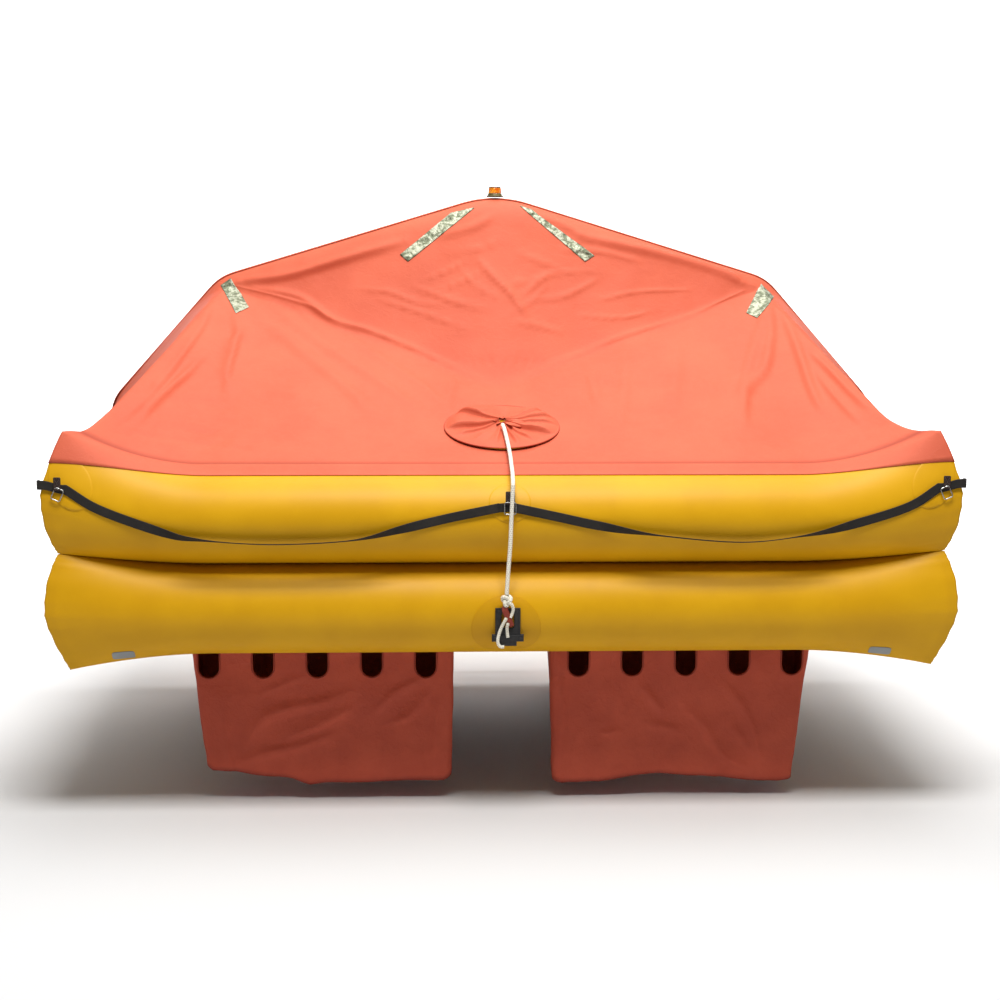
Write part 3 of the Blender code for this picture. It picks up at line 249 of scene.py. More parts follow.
def add_object(name: str, data: bpy.types.ID) -> Piece:
    """Link an object with its data to the scene."""
    made = bpy.data.objects.new(name, data)
    bpy.context.scene.collection.objects.link(made)
    return made


def make_mesh(name: str, points: Array, faces: Iterable[Sequence[int]],
              weave: Array | None = None, marks: dict[str, Array] | None = None,
              sharp_degrees: float = 180.0) -> Piece:
    """Make a smooth mesh object.

    Args:
        name: The piece's name.
        points: Its vertices.
        faces: Its faces, as indices of vertices.
        weave: Place of each vertex on the flat cloth, in metres, for the UV map.
        marks: Named values at the vertices, which the finishes read.
        sharp_degrees: Edges that bend more than this stay sharp.

    Returns:
        The new object.
    """
    mesh = bpy.data.meshes.new(name)
    mesh.from_pydata(np.asarray(points).reshape(-1, 3).tolist(), [], [list(face) for face in faces])
    if weave is not None:
        layer = mesh.uv_layers.new(name=WEAVE)
        corners = np.zeros(len(mesh.loops), np.int32)
        mesh.loops.foreach_get("vertex_index", corners)
        layer.data.foreach_set("uv", np.asarray(weave, np.float32).reshape(-1, 2)[corners].ravel())
    for mark, values in (marks or {}).items():
        layer = mesh.attributes.new(mark, "FLOAT", "POINT")
        layer.data.foreach_set("value", np.asarray(values, np.float32).ravel())
    mesh.update()
    mesh.shade_smooth()
    if sharp_degrees < 180:
        mesh.set_sharp_from_angle(angle=math.radians(sharp_degrees))
    return add_object(name, mesh)


def edit(obj: Piece, *steps: str, weld: float = 0.00002) -> Piece:
    """Weld doubled points and turn faces outwards, as asked for by the words weld and outward."""
    bm = bmesh.new()
    bm.from_mesh(obj.data)
    if "weld" in steps:
        bmesh.ops.remove_doubles(bm, verts=bm.verts, dist=weld)
        bmesh.ops.dissolve_degenerate(bm, edges=bm.edges, dist=1e-7)
    if "outward" in steps:
        bmesh.ops.recalc_face_normals(bm, faces=bm.faces)
    bm.to_mesh(obj.data)
    bm.free()
    return obj


def final_mesh(obj: Piece) -> bpy.types.Mesh:
    """Return the mesh that an object's curve or modifiers make."""
    bpy.context.view_layer.update()
    graph = bpy.context.evaluated_depsgraph_get()
    return bpy.data.meshes.new_from_object(obj.evaluated_get(graph), depsgraph=graph)


def modified(obj: Piece, kind: str, **settings: Any) -> Piece:
    """Make one modifier's result a piece's mesh."""
    modifier = obj.modifiers.new(kind.lower(), kind)
    for key, value in settings.items():
        setattr(modifier, key, value)
    mesh = final_mesh(obj)
    obj.modifiers.clear()
    obj.data = mesh
    return obj


def thicken(obj: Piece, thickness: float, offset: float = -1.0) -> Piece:
    """Give a sheet its thickness, inwards unless the offset says otherwise."""
    return modified(obj, "SOLIDIFY", thickness=thickness, offset=offset, use_even_offset=False)


def carve(obj: Piece, cutter: Piece) -> Piece:
    """Cut a closed cutter out of a closed piece, and remove the cutter."""
    modified(obj, "BOOLEAN", operation="DIFFERENCE", object=cutter, solver="MANIFOLD")
    bpy.data.objects.remove(cutter, do_unlink=True)
    return obj


def face_along(obj: Piece, axis: int = 2, sign: int = 1) -> Piece:
    """Turn a sheet over if it looks against an axis, upwards if no axis is given."""
    if sum(face.normal[axis] * face.area for face in obj.data.polygons) * sign < 0:
        obj.data.flip_normals()
    return obj


def loft(name: str, rings: Array, weave: Array | None = None, closed: bool = False,
         marks: dict[str, Array] | None = None, sharp_degrees: float = 180.0) -> Piece:
    """Join rings of points into a tube, which has filled ends or closes on itself."""
    count, sides = rings.shape[:2]
    faces = grid_quads(count, sides, closed, True).tolist()
    if not closed:
        faces.append(list(range(sides)))
        faces.append([(count - 1) * sides + side for side in reversed(range(sides))])
    return edit(make_mesh(name, rings, faces, weave, marks, sharp_degrees), "outward")


def prism(name: str, outline: Array, start: float, end: float, axis: int = 1) -> Piece:
    """Make a cutter: an outline carried from one place to another along an axis."""
    return loft(name, np.array([np.insert(outline, axis, place, axis=1) for place in (start, end)]))


def cast(tree: BVHTree, x: float, z: float, sign: int, nearest: bool = False) -> tuple[Any, Any]:
    """Find the place on a surface that is seen at X and Z.

    Args:
        tree: The surface.
        x: Where to look, across.
        z: Where to look, up.
        sign: -1 for a look from the front, 1 from the rear.
        nearest: Take the nearest place of the surface where the look passes it.

    Returns:
        The place and the direction out of the surface there, or two times None.
    """
    hit, normal, _, _ = tree.ray_cast(Vector((x, 3 * sign, z)), Vector((0, -sign, 0)))
    if hit is None and nearest:
        hit, normal, _, _ = tree.find_nearest(Vector((x, 0.05 * sign, z)))
    if hit is None:
        return None, None
    return np.array(hit), np.array(normal) * (1 if normal.y * sign > 0 else -1)


def swept_rings(path: Array, across: Array | Point, upward: Array | Point,
                section: Array) -> Array:
    """Return rings of a section, one or one a station, swept along a path between two directions."""
    shapes = np.broadcast_to(section, (len(path), *section.shape[-2:]))
    across, upward = (np.broadcast_to(each, path.shape)[:, None] for each in (across, upward))
    return path[:, None] + across * shapes[..., :1] + upward * shapes[..., 1:]


def round_bar(name: str, path: Array, radius: float, sides: int = 12,
              hint: Point = (0, 0, 1)) -> Piece:
    """Make a round bar or cord along an open path."""
    rings = swept_rings(path, *carried_frames(path, hint), oval(sides, radius, radius))
    return loft(name, rings, sharp_degrees=50)


def round_ring(name: str, loop: Array, radius: float, sides: int,
               normal: Array | Point) -> Piece:
    """Make a round bar along a closed loop, which faces one way or has a direction at each point."""
    outward = unit(np.cross(heading(loop, True), normal))
    return loft(name, swept_rings(loop, outward, normal, oval(sides, radius, radius)), closed=True)


def band_section(width: float, thickness: float, steps: int = 10) -> Array:
    """Return the section of flat webbing: a rounded bar with slightly raised selvedges."""
    across = np.cos(np.linspace(0, math.pi, steps + 1))
    rise = thickness / 2 * (1 - 0.18 * (1 - across ** 4)) * np.sqrt(np.clip(1 - np.abs(across) ** 14, 0, 1))
    top = np.stack([across * width / 2, rise], axis=1)
    return np.vstack([top[:-1], -top[:-1]])


def flat_places(down: Array, over: Array) -> Array:
    """Return places on flat cloth from those of a grid's rows and of its columns."""
    return np.stack(np.broadcast_arrays(down[:, None], over[None]), axis=-1)


def band(name: str, path: Array, wide: Array | Point, thin: Array | Point, width: float,
         thickness: float, steps: int = 10, closed: bool = False) -> Piece:
    """Make a length of flat webbing.

    Args:
        name: The piece's name.
        path: The line that its middle follows.
        wide: Direction of its width, one or one at each point.
        thin: Direction of its thickness.
        width: The webbing's width.
        thickness: Its thickness.
        steps: Faces across its width.
        closed: Join its end to its start.

    Returns:
        The webbing, with a UV map in metres along and across it.
    """
    section = band_section(width, thickness, steps)
    places = flat_places(distances(path), section[:, 0])
    return loft(name, swept_rings(path, wide, thin, section), places, closed)


def turned(name: str, profile: Array, place: Matrix, sides: int = 64, flutes: int = 0,
           flute_depth: float = 0.0) -> Piece:
    """Turn a profile about its own axis.

    Args:
        name: The piece's name.
        profile: Radius and height of its points, from one end to the other.
        place: Where its axis stands.
        sides: Faces round the axis.
        flutes: How many grooves its widest part has.
        flute_depth: Their depth.

    Returns:
        The closed piece.
    """
    turns = full_turn(sides)
    radii = np.maximum(profile[:, 0], 0.0004)[:, None] * np.ones((1, sides))
    wide = ease((profile[:, 0] / profile[:, 0].max() - 0.86) / 0.08)[:, None]
    radii = radii - flute_depth * wide * (0.5 - 0.5 * np.cos(flutes * turns))[None] ** 0.5
    rings = np.stack([radii * np.cos(turns), radii * np.sin(turns),
                      profile[:, 1:] * np.ones((1, sides))], axis=-1)
    made = loft(name, rings, sharp_degrees=38)
    made.data.transform(place)
    return made


def plate(name: str, outlines: Sequence[Array], thickness: float, edge: float,
          centre: Point) -> Piece:
    """Make an upright plate with rounded edges from closed outlines, the later ones being holes."""
    curve = bpy.data.curves.new(name, "CURVE")
    curve.dimensions = "2D"
    curve.fill_mode = "BOTH"
    curve.extrude = thickness / 2 - edge
    curve.bevel_depth = edge
    curve.bevel_resolution = 3
    curve.offset = -edge
    for outline in outlines:
        spline = curve.splines.new("POLY")
        spline.points.add(len(outline) - 1)
        for target, (across, along) in zip(spline.points, outline):
            target.co = (across, along, 0.0, 1.0)
        spline.use_cyclic_u = True
    holder = add_object(f"{name}_outline", curve)
    mesh = final_mesh(holder)
    bpy.data.objects.remove(holder, do_unlink=True)
    mesh.name = name
    mesh.transform(Matrix.Translation(centre) @ UPRIGHT)
    made = edit(add_object(name, mesh), "weld", "outward", weld=0.00004)
    mesh.shade_smooth()
    mesh.set_sharp_from_angle(angle=math.radians(40))
    return made

def stitches(name: str, lines: Iterable[Array], facing: Point, length: float = 0.0024,
             pitch: float = 0.0034, radius: float = 0.00045) -> Piece:
    """Make rows of sewn stitches along lines, each a short rounded thread."""
    made = []
    seam_colour = oval(6, radius, radius)
    for line in lines:
        spots = evenly(line, max(2, int(line_length(line) / pitch)))
        for spot, along in zip(spots, heading(spots)):
            side = unit(np.cross(along, facing))
            out = unit(np.cross(side, along))
            made.append([swept_rings(spot[None] + along * (length * part), side, out, seam_colour * size)[0]
                         for part, size in ((-0.5, 0.3), (-0.35, 1.0), (0.35, 1.0), (0.5, 0.3))])
    quads = grid_quads(4, 6, closed_columns=True)
    faces = [face for index in range(len(made)) for face in (quads + index * 24).tolist()]
    caps = [[index * 24 + offset + step for step in order] for index in range(len(made))
            for offset, order in ((0, range(6)), (18, range(5, -1, -1)))]
    return edit(make_mesh(name, np.array(made), faces + caps), "outward")


def join(name: str, objects: Sequence[Piece]) -> Piece:
    """Join objects of one finish into one piece."""
    made = bmesh.new()
    for obj in objects:
        obj.data.transform(obj.matrix_world)
        made.from_mesh(obj.data)
    mesh = bpy.data.meshes.new(name)
    made.to_mesh(mesh)
    made.free()
    for obj in objects:
        bpy.data.objects.remove(obj, do_unlink=True)
    return add_object(name, mesh)


# Shader nodes


def operation(name: str, swapped: bool = False) -> Callable[..., "Signal"]:
    """Return a method that adds one Math node.

    Args:
        name: The node's operation.
        swapped: Put the signal after the other value.

    Returns:
        The method, which takes the other value if the operation has one.
    """
    def method(self: "Signal", *others: "Signal | float") -> "Signal":
        """Add the Math node on this signal and the other value."""
        terms = (*others, self) if swapped else (self, *others)
        return self.sheet.node("ShaderNodeMath", {"operation": name}, dict(enumerate(terms)))

    return method


class Signal:
    """A node's output that takes part in arithmetic."""

    __add__, __radd__ = operation("ADD"), operation("ADD", True)
    __sub__, __rsub__ = operation("SUBTRACT"), operation("SUBTRACT", True)
    __mul__, __rmul__ = operation("MULTIPLY"), operation("MULTIPLY", True)
    __pow__, larger = operation("POWER"), operation("MAXIMUM")
    sine, size = operation("SINE"), operation("ABSOLUTE")

    def __init__(self, sheet: "ShaderSheet", socket: bpy.types.NodeSocket) -> None:
        """Keep the socket and the sheet that it is on."""
        self.sheet = sheet
        self.socket = socket

    def ramp(self, low: float, high: float) -> "Signal":
        """Return 0 below low, 1 above high, and a smooth step between."""
        return self.sheet.node("ShaderNodeMapRange", {"interpolation_type": "SMOOTHSTEP"},
                               {"Value": self, "From Min": low, "From Max": high})


class ShaderSheet:
    """One material's nodes."""

    def __init__(self, name: str) -> None:
        """Start a material with its Principled shader and the place on the piece, in metres."""
        self.material = bpy.data.materials.new(name)
        self.material.use_nodes = True
        self.tree = self.material.node_tree
        self.shader = self.tree.nodes["Principled BSDF"]
        self.place = self.node("ShaderNodeTexCoord", output="Object")

    def feed(self, socket: bpy.types.NodeSocket, value: Any) -> None:
        """Link a signal to a socket, or set the socket's value."""
        if isinstance(value, Signal):
            self.tree.links.new(value.socket, socket)
        else:
            socket.default_value = value

    def node(self, kind: str, settings: dict[str, Any] | None = None,
             sockets: dict[Any, Any] | None = None, output: Any = 0) -> Signal:
        """Add one node.

        Args:
            kind: The node's type.
            settings: Its properties, set first. The key stops gives a ramp's places and colours.
            sockets: Values or signals for its inputs, by name or number.
            output: Which output is returned.

        Returns:
            The output.
        """
        made = self.tree.nodes.new(kind)
        for key, value in (settings or {}).items():
            if key == "stops":
                elements = made.color_ramp.elements
                while len(elements) < len(value):
                    elements.new(0.5)
                for element, (place, colour) in zip(elements, value):
                    element.position = place
                    element.color = (*colour, 1.0)
            else:
                setattr(made, key, value)
        for key, value in (sockets or {}).items():
            self.feed(made.inputs[key], value)
        return Signal(self, made.outputs[output])

    def set(self, **values: Any) -> None:
        """Set or link the shader's sockets, named with _ for a space."""
        for key, value in values.items():
            self.feed(self.shader.inputs[key.replace("_", " ")], value)

    def cloth(self) -> tuple[Signal, Signal]:
        """Return the place along and across the flat cloth, in metres."""
        flat = self.node("ShaderNodeUVMap", {"uv_map": WEAVE})
        parts = self.node("ShaderNodeSeparateXYZ", sockets={0: flat})
        return parts, Signal(self, parts.socket.node.outputs[1])

    def mark(self, name: str) -> Signal:
        """Return a value that the mesh holds at its vertices."""
        return self.node("ShaderNodeAttribute", {"attribute_name": name}, output="Fac")

    def noise(self, size: float, detail: float = 4.0, rough: float = 0.5,
              stretch: Point = (1, 1, 1)) -> Signal:
        """Return noise from 0 to 1 with spots of about a size in metres, stretched along the axes."""
        scale = [1 / (size * each) for each in stretch]
        scaled = self.node("ShaderNodeVectorMath", {"operation": "MULTIPLY"}, {0: self.place, 1: scale})
        return self.node("ShaderNodeTexNoise", {"noise_dimensions": "3D"},
                         {"Vector": scaled, "Scale": 1.0, "Detail": detail, "Roughness": rough})

    def colours(self, share: Signal, first: Point, second: Point) -> Signal:
        """Return a colour between two, by a share."""
        return self.node("ShaderNodeMix", {"data_type": "RGBA"},
                         {"Factor": share, "A": (*first, 1.0), "B": (*second, 1.0)}, "Result")

    def tint(self, share: Signal, below: Signal, colour: Point) -> Signal:
        """Return a colour laid over another by a share."""
        return self.node("ShaderNodeMix", {"data_type": "RGBA"},
                         {6: below, 7: (*colour, 1.0), 0: share}, 2)

    def relief(self, height: Signal, depth: float, strength: float = 1.0) -> Signal:
        """Return a normal from a height, which is scaled to a depth in metres."""
        return self.node("ShaderNodeBump", sockets={"Height": height, "Distance": depth,
                                                    "Strength": strength}, output="Normal")


class Finish:
    """A material that is made once, when a piece first asks for it, and the slot that it usually fills."""

    made: ClassVar[dict[str, bpy.types.Material]] = {}
    slot: ClassVar[str] = ""

    def paint(self, sheet: ShaderSheet) -> None:
        """Lay the finish's nodes."""
        raise NotImplementedError

    def material(self) -> bpy.types.Material:
        """Return the finish's material."""
        key = repr(self)
        if key not in Finish.made:
            sheet = ShaderSheet(type(self).__name__)
            self.paint(sheet)
            Finish.made[key] = sheet.material
        return Finish.made[key]


def srgb(red: float, green: float, blue: float) -> Triple:
    """Return a screen colour, each part from 0 to 255, as linear light."""
    parts = (red / 255, green / 255, blue / 255)
    return tuple(part / 12.92 if part <= 0.04045 else ((part + 0.055) / 1.055) ** 2.4 for part in parts)


@dataclass(frozen=True)
class TubeFabric(Finish):
    """Golden coated fabric, drawn tight: a fine cloth grain under a satin coat, a little dusty."""

    slot: ClassVar[str] = "tube_fabric"
    light: Point = srgb(212, 158, 8)
    deep: Point = srgb(203, 149, 5)
    dust: Point = srgb(172, 136, 48)
    glue: Point = srgb(190, 136, 6)

    def paint(self, sheet: ShaderSheet) -> None:
        """Lay the finish's nodes."""
        clouds = sheet.noise(0.22, 5.0, 0.55)
        colour = sheet.colours(clouds.ramp(0.30, 0.72), self.deep, self.light)
        specks = sheet.noise(0.012, 6.0, 0.7).ramp(0.60, 0.80) * sheet.noise(0.35, 2.0).ramp(0.45, 0.7)
        colour = sheet.tint(specks * 0.10, colour, self.dust)
        colour = sheet.tint(sheet.mark("seam") * 0.20, colour, self.glue)
        grain = sheet.noise(0.0016, 3.0, 0.6)
        slow = sheet.noise(0.05, 3.0, 0.5)
        sheet.set(Base_Color=colour, Roughness=0.44 + 0.08 * clouds + 0.05 * specks,
                  Specular_IOR_Level=0.20, Normal=sheet.relief(grain * 0.35 + slow, 0.0008, 0.2))


@dataclass(frozen=True)
class CanopyFabric(Finish):
    """Thin salmon-orange canopy cloth: plain weave under a soft coat, crinkled from packing, darker along its
    seam marks, which on the hem is painted shade in the stitch groove.
    """

    slot: ClassVar[str] = "canopy_fabric"
    light: Point = srgb(204, 96, 68)
    deep: Point = srgb(197, 89, 62)
    worn: Point = srgb(210, 110, 84)
    seam_colour: Point = srgb(150, 60, 42)

    def paint(self, sheet: ShaderSheet) -> None:
        """Lay the finish's nodes."""
        along, across = sheet.cloth()
        clouds = sheet.noise(0.18, 4.0, 0.5)
        colour = sheet.colours(clouds.ramp(0.3, 0.7), self.deep, self.light)
        crinkle = sheet.noise(0.045, 5.0, 0.62, (1.0, 1.0, 0.7))
        ridges = (1 - (crinkle * 2 - 1).size()) ** 9
        colour = sheet.tint(ridges * 0.10, colour, self.worn)
        # Darker colour on the seam marks: on the canopy's hem it is painted shade along the stitch groove
        colour = sheet.tint(sheet.mark("seam") * 0.75, colour, self.seam_colour)
        pitch = 2 * math.pi / 0.0012
        threads = (along * pitch).sine() * (across * pitch).sine()
        height = ridges * 0.8 + crinkle * 1.2 + threads * 0.05
        sheet.set(Base_Color=colour, Roughness=0.56 + 0.12 * clouds, Specular_IOR_Level=0.22,
                  Normal=sheet.relief(height, 0.0010, 0.30))


@dataclass(frozen=True)
class BagFabric(Finish):
    """Rust-red bag cloth, water-stained towards the foot and crumpled."""

    slot: ClassVar[str] = "bag_fabric"
    light: Point = srgb(190, 82, 58)
    deep: Point = srgb(176, 72, 50)
    stain: Point = srgb(150, 60, 44)
    seam_colour: Point = srgb(110, 36, 24)

    def paint(self, sheet: ShaderSheet) -> None:
        """Lay the finish's nodes."""
        along, across = sheet.cloth()
        clouds = sheet.noise(0.12, 5.0, 0.6)
        colour = sheet.colours(clouds.ramp(0.3, 0.72), self.deep, self.light)
        spots = sheet.noise(0.03, 5.0, 0.65).ramp(0.56, 0.78)
        colour = sheet.tint(spots * 0.15, colour, self.stain)
        colour = sheet.tint(sheet.mark("seam") * 0.7, colour, self.seam_colour)
        crinkle = sheet.noise(0.035, 6.0, 0.62)
        ridges = (1 - (crinkle * 2 - 1).size()) ** 7
        pitch = 2 * math.pi / 0.0016
        threads = (along * pitch).sine() * (across * pitch).sine()
        sheet.set(Base_Color=colour, Roughness=0.60 + 0.15 * clouds, Specular_IOR_Level=0.3,
                  Normal=sheet.relief(ridges + crinkle + threads * 0.06, 0.0016, 0.4))


@dataclass(frozen=True)
class Webbing(Finish):
    """Woven polyester webbing: ribs along it, fine picks across it, dusty on the crowns."""

    slot: ClassVar[str] = "webbing"
    dark: Point = srgb(25, 21, 18)
    dusty: Point = srgb(50, 44, 39)

    def paint(self, sheet: ShaderSheet) -> None:
        """Lay the finish's nodes."""
        along, across = sheet.cloth()
        ribs = (across * (2 * math.pi / 0.0022)).sine() * 0.5 + 0.5
        waver = (across * (math.pi / 0.0022)).sine() * 2.0
        picks = (along * (2 * math.pi / 0.0018) + waver).sine() * 0.5 + 0.5
        clouds = sheet.noise(0.05, 4.0, 0.6)
        worn = clouds.ramp(0.45, 0.75) * 0.55 + ribs * 0.12
        colour = sheet.colours(worn, self.dark, self.dusty)
        sheet.set(Base_Color=colour, Roughness=0.66 + 0.2 * clouds, Specular_IOR_Level=0.4,
                  Normal=sheet.relief(ribs * 0.6 + picks * 0.4, 0.0005, 0.7))


@dataclass(frozen=True)
class RedWebbing(Webbing):
    """The same webbing in faded red-brown."""

    slot: ClassVar[str] = "red_webbing"
    dark: Point = srgb(128, 44, 30)
    dusty: Point = srgb(176, 84, 60)


@dataclass(frozen=True)
class BraidedLine(Finish):
    """Cream-white braided line: crossing strands, greyed in the valleys."""

    slot: ClassVar[str] = "white_rope"
    light: Point = srgb(246, 241, 224)
    shade: Point = srgb(168, 160, 138)

    def paint(self, sheet: ShaderSheet) -> None:
        """Lay the finish's nodes."""
        along, across = sheet.cloth()
        lay = 2 * math.pi / 0.011
        around = across * (16 * math.pi)
        first = (around + along * lay).sine()
        second = (around - along * lay).sine()
        strands = first.larger(second) * 0.5 + 0.5
        clouds = sheet.noise(0.02, 4.0, 0.6)
        colour = sheet.colours(strands.ramp(0.2, 0.7), self.shade, self.light)
        colour = sheet.tint(clouds.ramp(0.5, 0.8) * 0.25, colour, self.shade)
        sheet.set(Base_Color=colour, Roughness=0.72 + 0.1 * clouds, Specular_IOR_Level=0.3,
                  Sheen_Weight=0.2, Normal=sheet.relief(strands, 0.0006, 0.8))


@dataclass(frozen=True)
class MouldedPlastic(Finish):
    """Moulded plastic with a fine grain and rubbed high spots."""

    slot: ClassVar[str] = "black_plastic"
    dark: Point = srgb(22, 22, 24)
    rubbed: Point = srgb(54, 54, 56)
    gloss: float = 0.42

    def paint(self, sheet: ShaderSheet) -> None:
        """Lay the finish's nodes."""
        grain = sheet.noise(0.0012, 3.0, 0.6)
        clouds = sheet.noise(0.02, 5.0, 0.6)
        colour = sheet.colours(clouds.ramp(0.4, 0.8), self.dark, self.rubbed)
        sheet.set(Base_Color=colour, Roughness=self.gloss + 0.2 * clouds, Specular_IOR_Level=0.5,
                  Normal=sheet.relief(grain + clouds * 0.5, 0.0004, 0.5))


@dataclass(frozen=True)
class AmberPlastic(Finish):
    """Clear amber plastic of the locator lamp."""

    slot: ClassVar[str] = "lamp_amber"
    light: Point = srgb(250, 170, 40)
    deep: Point = srgb(214, 96, 10)

    def paint(self, sheet: ShaderSheet) -> None:
        """Lay the finish's nodes."""
        clouds = sheet.noise(0.01, 3.0, 0.5)
        sheet.set(Base_Color=sheet.colours(clouds.ramp(0.35, 0.65), self.deep, self.light),
                  Roughness=0.12 + 0.1 * clouds, Transmission_Weight=0.45, IOR=1.49,
                  Normal=sheet.relief(clouds, 0.0004, 0.3))


@dataclass(frozen=True)
class BareSteel(Finish):
    """Brushed and slightly dulled stainless steel."""

    slot: ClassVar[str] = "painted_steel"
    light: Point = srgb(206, 206, 202)
    dull: Point = srgb(132, 130, 126)

    def paint(self, sheet: ShaderSheet) -> None:
        """Lay the finish's nodes."""
        brushed = sheet.noise(0.004, 4.0, 0.6, (6.0, 1.0, 1.0))
        colour = sheet.colours(brushed.ramp(0.3, 0.75), self.dull, self.light)
        sheet.set(Base_Color=colour, Metallic=1.0, Roughness=0.22 + 0.22 * brushed,
                  Normal=sheet.relief(brushed, 0.0002, 0.4))


@dataclass(frozen=True)
class PaintedSteel(Finish):
    """Grey enamel on a pressed steel cylinder, chipped a little."""

    slot: ClassVar[str] = "painted_steel"
    paint_colour: Point = srgb(138, 142, 146)
    chip: Point = srgb(92, 86, 80)

    def paint(self, sheet: ShaderSheet) -> None:
        """Lay the finish's nodes."""
        clouds = sheet.noise(0.04, 4.0, 0.5)
        chips = sheet.noise(0.006, 5.0, 0.6).ramp(0.66, 0.70)
        shaded = tuple(0.82 * part for part in self.paint_colour)
        colour = sheet.tint(chips, sheet.colours(clouds, shaded, self.paint_colour), self.chip)
        sheet.set(Base_Color=colour, Metallic=0.25, Roughness=0.32 + 0.25 * chips + 0.1 * clouds,
                  Coat_Weight=0.2, Normal=sheet.relief(clouds * 0.3 - chips * 0.4 + 0.5, 0.0006, 0.4))


@dataclass(frozen=True)
class ReflectiveTape(Finish):
    """Crinkled silver reflective tape with a grey-green cast, and glints and shade painted into its colour along
    the crinkles.
    """

    slot: ClassVar[str] = "canopy_fabric"
    painted_glint: Point = srgb(186, 188, 166)
    green: Point = srgb(112, 118, 92)
    dark: Point = srgb(64, 66, 50)

    def paint(self, sheet: ShaderSheet) -> None:
        """Lay the finish's nodes."""
        crinkle = sheet.noise(0.012, 6.0, 0.62)
        patches = sheet.noise(0.03, 4.0, 0.6)
        # The ramp over the crinkles paints shade at its dark stop and glints at its lightest stop
        colour = sheet.node("ShaderNodeValToRGB", {"stops": (
            (0.32, self.dark), (0.46, self.green), (0.56, self.painted_glint), (0.70, self.green))},
            {"Fac": crinkle * 0.6 + patches * 0.4})
        sheet.set(Base_Color=colour, Metallic=0.45, Roughness=0.36 + 0.3 * patches,
                  Normal=sheet.relief(crinkle, 0.0045, 0.9))


@dataclass(frozen=True)
class FloorFabric(Finish):
    """Black coated floor cloth."""

    slot: ClassVar[str] = "floor_fabric"
    dark: Point = srgb(38, 38, 40)
    dusty: Point = srgb(78, 76, 72)

    def paint(self, sheet: ShaderSheet) -> None:
        """Lay the finish's nodes."""
        clouds = sheet.noise(0.15, 5.0, 0.6)
        grain = sheet.noise(0.002, 3.0, 0.6)
        sheet.set(Base_Color=sheet.colours(clouds.ramp(0.4, 0.8) * 0.6, self.dark, self.dusty),
                  Roughness=0.5 + 0.25 * clouds, Normal=sheet.relief(grain + clouds * 2, 0.0012, 0.5))


@dataclass(frozen=True)
class StudioFloor(Finish):
    """Plain pale studio floor."""

    pale: Point = srgb(214, 214, 214)

    def paint(self, sheet: ShaderSheet) -> None:
        """Lay the finish's nodes."""
        sheet.set(Base_Color=(*self.pale, 1.0), Roughness=0.9, Specular_IOR_Level=0.1)


def dress(obj: Piece, finish: Finish, *nodes: str, slot: str = "") -> Piece:
    """Give a piece its finish, let it ride on the raft and hide the CAD nodes that it stands for."""
    obj.data.materials.clear()
    obj.data.materials.append(finish.material())
    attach(obj, BODY)
    if nodes:
        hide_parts(*nodes)
    log.info("%s: %d faces", obj.name, len(obj.data.polygons))
    return obj


# The raft's form, as the CAD source has it


